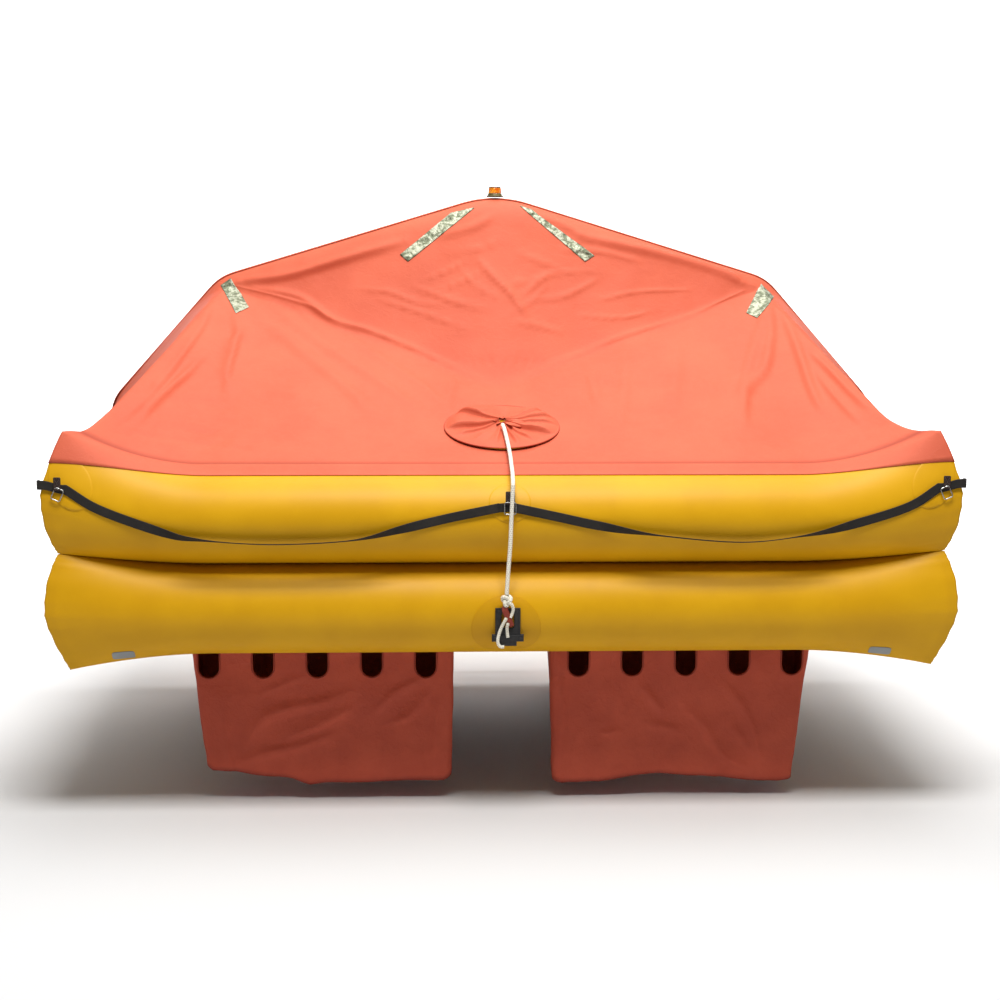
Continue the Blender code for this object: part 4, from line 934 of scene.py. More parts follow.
@dataclass(frozen=True)
class TubeForm:
    """Skin of the two stacked tubes with their mitred, swollen corners."""

    radius: float = 0.125
    axis_x: float = 1.10
    axis_y: float = 0.755
    corner_reach: float = 0.30
    corner_swell: float = 0.29
    seam_reach: float = 1.03
    inner_reach: float = 0.90
    free_side: Pair = (0.42, 1.35)
    joined_side: Pair = (0.27, 2.4)

    def seam(self, level: Level, angle: Array, grow: Any) -> tuple[Array, Array]:
        """Return the outward and upward offset of the mitre seam from the tube's axis."""
        height, reach = np.sin(angle), np.cos(angle)
        free = height > 0 if level is Level.UPPER else height < 0
        set_in = np.where(free, self.free_side[0], self.joined_side[0])
        blunt = np.where(free, self.free_side[1], self.joined_side[1])
        peak = self.seam_reach - set_in
        outward = np.where(reach >= 0, self.seam_reach - set_in * np.abs(height) ** blunt,
                           peak + (peak + self.inner_reach) * reach)
        return (self.radius * outward + grow * reach,
                self.radius * (1 + self.corner_swell) * height + grow * height)

    def skin(self, level: Level, leg: Leg, share: Any, degrees: Any, grow: Any = 0.0) -> Array:
        """Return points on a tube's skin, in the quarter where X is positive and Y is negative.

        Args:
            level: Which tube.
            leg: Which run of it.
            share: 0 at the mitre seam, 1 where the swell ends, 2 at the leg's middle.
            degrees: Angle round the tube, 0 outwards and 90 up.
            grow: Distance outside the skin.

        Returns:
            Points, the last axis being X, Y, Z.
        """
        share, degrees, grow = np.broadcast_arrays(np.asarray(share, float), np.asarray(degrees, float), grow)
        angle = np.radians(degrees)
        axis_z, lift = level.value
        seam_out, seam_up = self.seam(level, angle, grow)
        fade = np.clip(1 - share, 0, None) ** 1.8
        outward = mix((self.radius + grow) * np.cos(angle), seam_out, fade)
        upward = mix((self.radius + grow) * np.sin(angle), seam_up, fade)
        axis_along = self.axis_x if leg is Leg.FRONT else self.axis_y
        swell_end = axis_along - self.corner_reach
        along = np.where(share <= 1, mix(axis_along + seam_out, swell_end, share),
                         mix(swell_end, 0.0, share - 1))
        height = axis_z + lift * fade + upward
        if leg is Leg.FRONT:
            return np.stack([along, -(self.axis_y + outward), height], axis=-1)
        return np.stack([self.axis_x + outward, -along, height], axis=-1)

    def share_at(self, level: Level, leg: Leg, along: float, degrees: float) -> float:
        """Return the share at which a tube's skin lies at a distance along its leg."""
        seam_out = float(self.seam(level, np.radians(degrees), 0.0)[0])
        axis_along = self.axis_x if leg is Leg.FRONT else self.axis_y
        swell_end = axis_along - self.corner_reach
        if along > swell_end:
            return (axis_along + seam_out - along) / (axis_along + seam_out - swell_end)
        return 2 - along / swell_end

    def at(self, level: Level, side: str, along: float, degrees: float, grow: float) -> Array:
        """Return one point near the skin at the front, rear, left or right."""
        leg = Leg.FRONT if side in ("front", "rear") else Leg.SIDE
        point = self.skin(level, leg, self.share_at(level, leg, abs(along), degrees), degrees, grow)
        x, y, z = point
        if leg is Leg.FRONT:
            return np.array([math.copysign(x, along), y if side == "front" else -y, z])
        return np.array([x if side == "right" else -x, math.copysign(y, along), z])


FORM = TubeForm()


def mirrored(points: Array, *axes: int) -> Array:
    """Return points mirrored in the planes square to the named axes."""
    signs = np.ones(3)
    for axis in axes:
        signs[axis] = -1
    return points * signs


@dataclass(frozen=True)
class ArchLine:
    """A line over the raft in the plane Y = 0, as X and Z, measured from the apex."""

    corners: tuple[Pair, ...] = ((0.0, 1.172), (0.852, 0.914), (1.196, 0.528), (1.196, 0.357))
    bends: tuple[float, ...] = (0.35, 0.16, 0.12)
    inset: float = 0.0
    foot_drop: float = 0.0
    steps: int = 16

    def points(self) -> Array:
        """Return the whole line, from the left foot over the apex to the right foot."""
        right = np.array(self.corners)
        line = np.vstack([(right * [-1, 1])[:0:-1], right])
        ahead = unit(np.diff(line, axis=0))
        inward = np.stack([ahead[:, 1], -ahead[:, 0]], axis=1)
        before, after = np.vstack([inward[:1], inward]), np.vstack([inward, inward[-1:]])
        line = line + (before + after) * (self.inset / (1 + (before * after).sum(axis=1)))[:, None]
        line[[0, -1], 1] -= self.foot_drop
        return filleted(line, (*self.bends[:0:-1], *self.bends), self.steps)

    def measured(self) -> tuple[Array, Array]:
        """Return the points and their distances from the apex, negative on the left."""
        points = self.points()
        steps = distances(points)
        return points, steps - steps[-1] / 2

    def at(self, distance: float) -> Array:
        """Return the point at a distance from the apex."""
        points, steps = self.measured()
        return np.array([np.interp(distance, steps, points[:, axis]) for axis in (0, 1)])

    def lean(self, distance: float, reach: float = 0.004) -> Array:
        """Return the outward direction there, square to the line."""
        along = unit(self.at(distance + reach) - self.at(distance - reach))
        return np.array([-along[1], along[0]])

    def shoulder_distance(self) -> float:
        """Return the distance of the shoulder's middle."""
        points, steps = self.measured()
        return float(steps[np.linalg.norm(points - np.array(self.corners[1]), axis=1).argmin()])

    def foot_distance(self) -> float:
        """Return the distance of the foot."""
        return float(self.measured()[1][-1])


@dataclass
class SkinPatch:
    """A thin piece of cloth glued flat on a tube's skin, an ellipse or a rounded rectangle."""

    level: Level
    side: str
    along: float
    degrees: float
    half: Pair
    thickness: float = 0.0012
    squareness: float = 2.0
    rings: int = 12
    around: int = 72

    def build(self, name: str, finish: Finish = TubeFabric(), *nodes: str) -> Piece:
        """Build the patch as a closed piece."""
        turns = full_turn(self.around)
        shape_u, shape_v = (np.sign(part) * np.abs(part) ** (2 / self.squareness)
                            for part in (np.cos(turns), np.sin(turns)))
        sizes = list(np.linspace(0.02, 1.0, self.rings)) + [1.006, 1.0, 0.02]
        edge = [self.thickness * 0.8, self.thickness * 0.4, 0.0002, 0.0002]
        lifts = [self.thickness] * (self.rings - 1) + edge
        rings = []
        for size, lift in zip(sizes, lifts):
            reach, turn = self.half[0] * size, math.degrees(self.half[1] * size / FORM.radius)
            rings.append([FORM.at(self.level, self.side, self.along + reach * u, self.degrees + turn * v,
                                  lift + 0.0004) for u, v in zip(shape_u, shape_v)])
        return dress(loft(name, np.array(rings), sharp_degrees=50), finish, *nodes)


@dataclass
class BuoyancyTubes:
    """The two inflated tubes."""

    sides: int = 84
    pucker: float = 0.0016
    pucker_reach: float = 0.050
    tape_half_width: float = 0.022
    tape_rise: float = 0.0006

    def shares(self) -> Array:
        """Return the stations of one leg, from its middle to the mitre seam, close together there."""
        straight = np.linspace(2.0, 1.0, 12, endpoint=False)
        corner = np.linspace(1.0, 0.0, 28) ** 1.35
        return np.concatenate([straight, corner])

    def quarter(self, level: Level) -> tuple[Array, Array]:
        """Return one quarter's rings and how much of each point is seam tape."""
        degrees = np.arange(self.sides) * 360 / self.sides
        rings, marks = [], []
        for leg in Leg:
            shares = self.shares() if leg is Leg.FRONT else self.shares()[::-1][1:]
            from_seam = np.where(shares < 1, shares, 3.0)[:, None] * FORM.corner_reach
            near = np.exp(-from_seam / self.pucker_reach)
            wave = np.cos(np.radians(degrees) * 21 + 1.7 * np.sin(np.radians(degrees) * 5))[None]
            tape = ease((self.tape_half_width - from_seam) / 0.003 + 0.5)
            tape = np.broadcast_to(tape, (len(shares), self.sides))
            grow = self.pucker * near * (wave - 1) * 0.5 + self.tape_rise * tape
            rings.append(FORM.skin(level, leg, shares[:, None], degrees[None], grow))
            marks.append(tape)
        return np.concatenate(rings), np.concatenate(marks)

    def build_tube(self, level: Level) -> Piece:
        """Build one tube as a closed ring."""
        points, tape = self.quarter(level)
        rings = np.concatenate([points, mirrored(points, 1)[::-1][1:], mirrored(points, 0, 1)[1:],
                                mirrored(points, 0)[::-1][1:-1]])
        marks = np.concatenate([tape, tape[::-1][1:], tape[1:], tape[::-1][1:-1]])
        node = f"{level.name.lower()}_tube"
        made = loft(f"{node}_skin", rings, closed=True, marks={"seam": marks})
        return dress(made, TubeFabric(), node)

    def build(self) -> None:
        """Build both tubes."""
        for level in Level:
            self.build_tube(level)


@dataclass(frozen=True)
class FoldLine:
    """One fold of a cloth, along a line that is given as seen from the front."""

    kind: Fold
    height: float
    width: float
    line: tuple[Pair, ...]

    def lift(self, distance: Array, signed: Array, share: Array) -> Array:
        """Return how far the cloth rises.

        Args:
            distance: Distance from the line.
            signed: The same with the sign of the side, positive below the line.
            share: Place along the line, 0 to 1.

        Returns:
            The rise, in metres.
        """
        ends = np.sqrt(np.clip(np.sin(math.pi * np.clip(share, 0.02, 0.98)), 0, 1))
        near = distance / self.width
        if self.kind is Fold.CREASE:
            shape = np.exp(-np.abs(near) * 2.2)
        elif self.kind is Fold.PIPE:
            shape = np.exp(-(near * 1.35) ** 2)
        elif self.kind is Fold.PLEAT:
            tilt = np.where(signed > 0, 2.6, 0.85)
            shape = np.exp(-np.abs(near * tilt) ** 1.5)
        else:
            shape = -np.exp(-(near * 2) ** 2)
        return self.height * shape * ends


@dataclass
class FoldSet:
    """The folds of one face of a cloth."""

    folds: Sequence[FoldLine]
    reach: float = 3.0

    def rise(self, points: Array, snapped: Sequence[Array]) -> Array:
        """Return the rise at points from every fold.

        Args:
            points: Places on the cloth.
            snapped: Each fold's line laid on the cloth.

        Returns:
            The rise at each point, in metres.
        """
        flat = points.reshape(-1, 3)
        total = np.zeros(len(flat))
        for fold, line in zip(self.folds, snapped):
            reach = self.reach * fold.width
            inside = np.all((flat > line.min(0) - reach) & (flat < line.max(0) + reach), axis=1)
            if not inside.any():
                continue
            near = flat[inside]
            best = np.full(len(near), 1e9)
            signed = np.zeros(len(near))
            share = np.zeros(len(near))
            spans = len(line) - 1
            for index, (start, end) in enumerate(zip(line, line[1:])):
                span = end - start
                part = np.clip((near - start) @ span / max(span @ span, 1e-12), 0, 1)
                gap = near - (start + part[:, None] * span)
                distance = np.linalg.norm(gap, axis=1)
                closer = distance < best
                best[closer] = distance[closer]
                side = np.sign(span[0] * gap[:, 2] - span[2] * gap[:, 0]) * -np.sign(span[0] or 1)
                signed[closer] = (distance * side)[closer]
                share[closer] = ((index + part) / spans)[closer]
            total[inside] += fold.lift(best, signed, share)
        return total.reshape(points.shape[:-1])


def fold(kind: Fold, height: float, width: float, *line: float) -> FoldLine:
    """Return a fold from its height and width in millimetres and the X and Z of its points in metres."""
    return FoldLine(kind, height / 1000, width / 1000, tuple(zip(line[::2], line[1::2])))


CANOPY_FOLDS = (
    fold(Fold.CREASE, 8.5, 12, -.796, .886, -.579, .831, -.502, .79, -.392, .758, -.307, .727, -.232, .698,
         -.152, .662, -.043, .612),
    fold(Fold.PIPE, 6, 14, -.741, .88, -.598, .854, -.492, .781, -.389, .755),
    fold(Fold.PIPE, 9, 26, -.732, .802, -.606, .717, -.446, .602, -.362, .532),
    fold(Fold.PIPE, 7.5, 22, -.701, .839, -.546, .733, -.375, .632, -.223, .537),
    fold(Fold.PIPE, 6, 21, -.491, .75, -.36, .683, -.223, .6, -.146, .536),
    fold(Fold.PLEAT, 13, 19, -.793, .802, -.775, .735, -.786, .652, -.786, .591),
    fold(Fold.PLEAT, 8.5, 14, -.855, .688, -.903, .64, -.973, .574, -.995, .529),
    fold(Fold.PIPE, 6, 12, -.874, .655, -.93, .61, -.984, .55),
    fold(Fold.PLEAT, 8.5, 19, -.863, .846, -.874, .776, -.926, .68, -.983, .592, -1.038, .538),
    fold(Fold.CREASE, 7, 7, -.999, .657, -.98, .633, -.979, .597),
    fold(Fold.PIPE, 6, 10, -1.083, .489, -1.006, .462, -.864, .449, -.721, .435),
    fold(Fold.PIPE, 4.5, 10, -1.101, .509, -1.039, .488, -.925, .467, -.802, .45, -.65, .428),
    fold(Fold.PIPE, 4.5, 10, -.959, .596, -.88, .588, -.77, .58),
    fold(Fold.PIPE, 13.5, 19, -.785, .901, -.646, .917, -.508, .957, -.385, .994, -.278, 1.025),
    fold(Fold.PIPE, 7.5, 15, -.171, 1.04, -.07, 1.068, -.008, 1.102),
    fold(Fold.CREASE, 5, 9, -.162, .983, -.07, .998, .009, 1.02),
    fold(Fold.CREASE, 7, 9, -.253, .889, -.111, .839, -.012, .822),
    fold(Fold.CREASE, 12, 12, -.055, .968, -.002, .912, .043, .867, .096, .793),
    fold(Fold.CREASE, 7, 9, .168, .93, .08, .867),
    fold(Fold.CREASE, 7, 9, .31, .909, .206, .861, .11, .852),
    fold(Fold.PIPE, 4.5, 10, .064, .99, .131, .966, .202, .939),
    fold(Fold.CREASE, 5, 8, -.223, .907, -.141, .938, -.07, .98),
    fold(Fold.CREASE, 5, 8, -.178, .875, -.092, .908, -.031, .938),
    fold(Fold.PIPE, 4.5, 9, .048, .787, .126, .772, .196, .752),
    fold(Fold.CREASE, 8.5, 12, .772, .876, .627, .813, .512, .777, .386, .742, .27, .699, .083, .628),
    fold(Fold.SEAM, 2.5, 4, -.119, .662, .024, .669, .183, .662),
    fold(Fold.PIPE, 13.5, 19, .264, 1.042, .408, 1.012, .562, .976, .716, .93, .764, .9),
    fold(Fold.PIPE, 7.5, 15, .095, 1.118, .2, 1.079, .292, 1.03),
    fold(Fold.PLEAT, 14.5, 21, .843, .841, .829, .755, .787, .654, .718, .59, .689, .512),
    fold(Fold.PIPE, 10.5, 17, .876, .807, .89, .707, .9, .61, .915, .546),
    fold(Fold.PIPE, 7.5, 12, .917, .708, .959, .659, 1.001, .599, 1.033, .562),
    fold(Fold.PIPE, 6, 12, .92, .657, .962, .581, 1.004, .523),
    fold(Fold.PIPE, 9, 19, .829, .824, .763, .704, .689, .574),
    fold(Fold.PIPE, 4.5, 9, .952, .481, 1.046, .472),
    fold(Fold.PIPE, 4.5, 9, .867, .457, .987, .476),
    fold(Fold.PIPE, 4.5, 26, .548, .735, .52, .634, .484, .547),
    fold(Fold.PIPE, 4.5, 26, .388, .7, .36, .586, .327, .497),
    fold(Fold.PIPE, 4.5, 22, -.135, .629, -.154, .538),
    fold(Fold.PIPE, 4.5, 22, .271, .642, .284, .545),
    fold(Fold.PIPE, 4.5, 10, .446, .964, .322, .994, .197, .999),
    fold(Fold.PIPE, 4.5, 14, -.597, .81, -.471, .716, -.32, .621),
    fold(Fold.CREASE, 5, 8, -.354, .847, -.232, .812, -.082, .76),
    fold(Fold.CREASE, 5, 8, .317, .849, .443, .873, .601, .879),
    fold(Fold.CREASE, 5, 8, .238, .804, .376, .795, .471, .813),
    fold(Fold.PIPE, 6, 8, -1.125, .503, -1.02, .482, -.90, .466, -.78, .452, -.66, .440),
    fold(Fold.PIPE, 5, 8, -1.07, .520, -.95, .498, -.83, .480, -.70, .460, -.57, .446),
    fold(Fold.PIPE, 4, 7, -1.13, .482, -1.04, .466, -.93, .455, -.83, .446),
    fold(Fold.CREASE, 5, 8, -1.02, .540, -.91, .518, -.79, .500, -.68, .486),
    fold(Fold.CREASE, 4, 7, -.93, .560, -.84, .548, -.74, .528, -.66, .524),
    fold(Fold.PIPE, 4, 8, 1.13, .486, 1.03, .470, .93, .458, .83, .448),
    fold(Fold.PIPE, 4, 8, 1.08, .506, .97, .486, .85, .470, .74, .456),
    fold(Fold.CREASE, 5, 9, .30, .936, .19, .930, .10, .905, .04, .900),
    fold(Fold.CREASE, 5, 9, -.42, .880, -.33, .872, -.24, .842, -.15, .835),
    fold(Fold.CREASE, 4, 8, .16, .900, .10, .840, .03, .806),
    fold(Fold.CREASE, 4, 8, -.12, .950, -.06, .890, .02, .850),
    fold(Fold.CREASE, 5, 9, -.70, .600, -.60, .585, -.50, .556),
    fold(Fold.CREASE, 4, 9, .56, .640, .63, .600, .74, .590),
)


@dataclass
class Canopy:
    """The canopy: two thin sheets sewn along the ridge, drawn over the arch and glued round the tube."""

    ridge: ArchLine = ArchLine()
    arch_radius: float = 0.0716
    skin_gap: float = 0.0018
    glue_gap: float = 0.0011
    hem_rise: float = 0.019
    # Degrees up the tube, at the front, the side and the corner: the hem, and where the cloth leaves the tube
    hem_degrees: Triple = (72.0, 32.0, 31.0)
    leave_degrees: Triple = (93.0, 40.0, 102.0)
    wrap_degrees: float = 58.0
    crease: Pair = (-0.33, 0.598)
    low_sag: float = 0.010
    high_sag: float = 0.012
    # Depth of the dent above each front corner, left and right, and the share of the height where it lies
    hip_dents: Pair = (0.012, 0.036)
    dent_place: float = 0.18
    thickness: float = 0.0014
    hem_rows: int = 12
    low_rows: int = 46
    high_rows: int = 46
    wrap_rows: int = 9
    smooth_rounds: int = 14
    port: Triple = (0.0, -0.565, 0.503)
    port_slope: float = 22.0
    port_half: Pair = (0.152, 0.117)
    door_half_width: float = 0.40
    door_z: Pair = (0.445, 0.80)
    door_corner: float = 0.12
    trees: dict[str, BVHTree] = field(default_factory=dict)

    def shares(self, leg: Leg) -> Array:
        """Return the columns of one leg, from the front's middle, or from the seam along the side."""
        if leg is Leg.FRONT:
            straight, corner = np.linspace(2.0, 1.0, 92, endpoint=False), np.linspace(1.0, 0.0, 42) ** 1.15
            return np.concatenate([straight, corner])
        return np.concatenate([np.linspace(0.0, 1.0, 30) ** 1.2, np.linspace(1.0, 2.0, 26)[1:]])[1:]

    def wrapped(self, distance: float, share: float) -> Array:
        """Return the cloth over the arch at a distance from the apex, from its lower edge up to the ridge."""
        point, lean = self.ridge.at(distance), self.ridge.lean(distance)
        angle = np.radians(np.linspace(self.wrap_degrees, 0.0, self.wrap_rows)) * share
        drop = self.arch_radius * (1 - np.cos(angle))
        return np.stack([point[0] - lean[0] * drop, -self.arch_radius * np.sin(angle),
                         point[1] - lean[1] * drop], axis=1)

    def hem(self, leg: Leg, share: float) -> Array:
        """Return the strip of cloth that is glued to the tube, from its edge to where it leaves the tube."""
        near = max(0.0, 1 - share)
        front_hem, side_hem, corner_hem = self.hem_degrees
        front_leave, side_leave, corner_leave = self.leave_degrees
        if leg is Leg.FRONT:
            edge = mix(front_hem, corner_hem, near ** 1.6)
            leave = mix(front_leave, corner_leave, near ** 1.5)
        else:
            edge = mix(side_hem, corner_hem, near ** 1.2)
            leave = mix(corner_leave, side_leave, float(ease(share / 1.6)))
        up = np.linspace(0, 1, self.hem_rows)
        gap = mix(self.glue_gap, self.skin_gap, ease(up * 3))
        strip = FORM.skin(Level.UPPER, leg, share, mix(edge, leave, up), gap)
        if leg is Leg.FRONT:
            strip[:, 2] += self.hem_rise * min(1.0, share) * ease((up - 0.15) / 0.85) ** 1.3
        return strip

    def column(self, leg: Leg, share: float, dent: float) -> Array:
        """Return one column of the sheet, from the hem to the ridge."""
        corner = self.hem(Leg.FRONT, 0.0)[-1]
        shoulder = self.ridge.shoulder_distance()
        hem = self.hem(leg, share)
        start = hem[-1]
        if leg is Leg.FRONT:
            across = start[0] / corner[0]
            rows = self.wrapped(across * shoulder, 1.0)
            crease = mix(np.array([0.0, *self.crease]), self.wrapped(shoulder, 1.0)[0], across)
            slack, from_corner = 1 - across, abs(start[0] - corner[0]) / 0.30
        else:
            across = min(1.0, abs(start[1] / corner[1]))
            grip = max(across ** 4, 0.14 * min(1.0, abs(start[1]) / 0.1))
            rows = self.wrapped(mix(self.ridge.foot_distance(), shoulder, across), grip)
            crease = mix(start, rows[0], 0.5)
            slack, from_corner = 0.0, abs(start[1] - corner[1]) / 0.25
        parts = np.linspace(0, 1, self.low_rows + 1)[1:, None]
        low = mix(start, crease, parts)
        low[:, 2] -= self.low_sag * slack * np.sin(math.pi * parts[:, 0])
        parts = np.linspace(0, 1, self.high_rows + 1)[1:, None]
        high = mix(crease, rows[0], parts)
        bow = self.high_sag * slack * 4 * (parts * (1 - parts))[:, 0]
        high[:, 2] -= bow
        high[:, 1] += bow
        free = np.concatenate([low, high])
        place = np.clip((free[:, 2] - start[2]) / max(rows[0][2] - start[2], 1e-6), 0, 1) / self.dent_place
        shape = place * np.exp(1 - place) * ease((1 - place * self.dent_place) * 5)
        sunk = dent * math.exp(-from_corner ** 2) * shape
        free = free + sunk[:, None] * unit(np.array([-0.55, 0.55, -0.60]))
        return np.concatenate([hem, free, rows[1:]])

    def half(self) -> Array:
        """Return the front half's columns, from the left side's middle to the right side's middle."""
        left, right = (np.array([self.column(leg, share, dent) for leg in Leg for share in self.shares(leg)])
                       for dent in self.hip_dents)
        return np.concatenate([mirrored(left, 0)[::-1], right[1:]])

    def smoothed(self, grid: Array) -> Array:
        """Return the grid with its creases eased, the hem and the ridge kept."""
        held = self.hem_rows
        fixed = grid.copy()
        for _ in range(self.smooth_rounds):
            middle = (grid[:-2, 1:-1] + grid[2:, 1:-1] + grid[1:-1, :-2] + grid[1:-1, 2:]) / 4
            grid[1:-1, 1:-1] = mix(grid[1:-1, 1:-1], middle, 0.6)
            grid[:, :held] = fixed[:, :held]
        return grid

    def normals(self, grid: Array) -> Array:
        """Return the outward directions of the grid."""
        facing = unit(np.cross(np.gradient(grid, axis=0), np.gradient(grid, axis=1)))
        middle = facing[facing.shape[0] // 2, facing.shape[1] // 2]
        return facing if middle[1] < 0 else -facing

    def tree(self, grid: Array) -> BVHTree:
        """Return a search tree of the grid."""
        quads = grid_quads(*grid.shape[:2])
        return BVHTree.FromPolygons(grid.reshape(-1, 3).tolist(), quads.tolist())

    @staticmethod
    def laid(tree: BVHTree, line: Iterable[Pair]) -> Array:
        """Return a line that is seen from the front, laid on the sheet."""
        hits = [cast(tree, x, z, -1)[0] for x, z in smooth_line(line, 6)]
        laid = [hit for hit in hits if hit is not None]
        return np.array(laid) if len(laid) > 1 else np.array([[9, 9, 9], [9, 9, 9.1]], float)

    def crumpled(self, grid: Array, folds: Sequence[FoldLine], seed: int) -> tuple[Array, Array]:
        """Return the grid with its folds, small dents and sewn lines, and the seam marks, which also paint shade
        along the hem's stitch groove.
        """
        tree = self.tree(grid)
        snapped = [self.laid(tree, each.line) for each in folds]
        rise = FoldSet(folds).rise(grid, snapped)
        rows = np.arange(grid.shape[1])
        tall = np.linalg.norm(np.diff(grid, axis=1), axis=-1).sum(axis=1)
        free = ease((rows - self.hem_rows + 1) / 6) * ease((grid.shape[1] - 1 - rows) / 8)
        dents = (soft_noise(grid, 0.16, seed) * 0.0022 + soft_noise(grid, 0.07, seed + 1) * 0.0012
                 + soft_noise(grid, 0.03, seed + 2) * 0.0005)
        # The stitch line by the hem: a groove in the sheet, and a seam mark that paints shade along it
        stitch_groove_and_shade = np.exp(-((rows - self.hem_rows + 1) / 0.6) ** 2)[None] * np.ones((grid.shape[0], 1))
        rise = (rise + dents) * free[None] * ease((tall - 0.05) / 0.2)[:, None] - 0.0014 * stitch_groove_and_shade
        return grid + self.normals(grid) * rise[..., None], stitch_groove_and_shade

    def sheet(self, name: str, grid: Array, marks: Array) -> Piece:
        """Make a canopy half from its grid."""
        steps_u = np.linalg.norm(np.diff(grid, axis=0), axis=-1).mean(axis=1)
        steps_v = np.linalg.norm(np.diff(grid, axis=1), axis=-1)
        u = np.concatenate([[0.0], np.cumsum(steps_u)])[:, None] * np.ones((1, grid.shape[1]))
        v = np.concatenate([np.zeros((grid.shape[0], 1)), np.cumsum(steps_v, axis=1)], axis=1)
        made = make_mesh(name, grid, grid_quads(*grid.shape[:2]), np.stack([u, v], axis=-1), {"seam": marks})
        return face_along(edit(made, "weld", "outward", weld=0.00004))

    def port_cutter(self) -> Piece:
        """Return the cutter of the port's hole."""
        cutter = prism("port_cutter", oval(72, *self.port_half), -0.09, 0.09, 2)
        turn = Matrix.Rotation(math.radians(self.port_slope), 4, "X")
        cutter.matrix_world = Matrix.Translation(self.port) @ turn
        return cutter

    def door_outline(self, steps: int) -> Array:
        """Return the entrance's outline, as X and Z."""
        low, high = self.door_z
        outline = rounded_outline(self.door_half_width, (high - low) / 2, self.door_corner, steps)
        return outline + [0, (low + high) / 2]

    def build(self) -> None:
        """Build both halves of the canopy."""
        smooth = self.smoothed(self.half())
        for end, source, folds, seed, hole in (
                ("front", smooth, CANOPY_FOLDS, 3, 0.059),
                ("rear", mirrored(smooth, 0)[::-2], CANOPY_FOLDS[1::2], 40, 0.263)):
            grid, marks = self.crumpled(source.copy(), folds, seed)
            if end == "rear":
                grid = mirrored(grid, 0, 1)
            self.trees[end] = self.tree(grid)
            made = self.sheet(f"canopy_{end}_sheet", grid, marks)
            thicken(made, self.thickness, 1.0)
            carve(made, prism("door_cutter", self.door_outline(12), 0.16, 0.96) if end == "rear"
                  else self.port_cutter())
            dress(made, CanopyFabric(), f"canopy_{end}")


@dataclass
class ArchTube:
    """The inflated arch under the canopy, cut at its feet to sit on the side tubes."""

    line: ArchLine = ArchLine(bends=(0.36, 0.13, 0.13), inset=0.0716, foot_drop=0.07)
    radius: float = 0.067
    foot_gap: float = 0.0012

    def build(self) -> None:
        """Build the arch."""
        flat = evenly(self.line.points(), 260)
        path = np.stack([flat[:, 0], np.zeros(len(flat)), flat[:, 1]], axis=1)
        arch = round_bar("arch_tube_skin", path, self.radius, 48, (0, 1, 0))
        reach = FORM.radius + self.foot_gap
        for sign in (-1, 1):
            foot = oval(96, reach, reach) + [sign * FORM.axis_x, Level.UPPER.value[0]]
            carve(arch, prism("arch_foot_cutter", foot, -0.25, 0.25))
        dress(arch, TubeFabric(), "arch_tube")


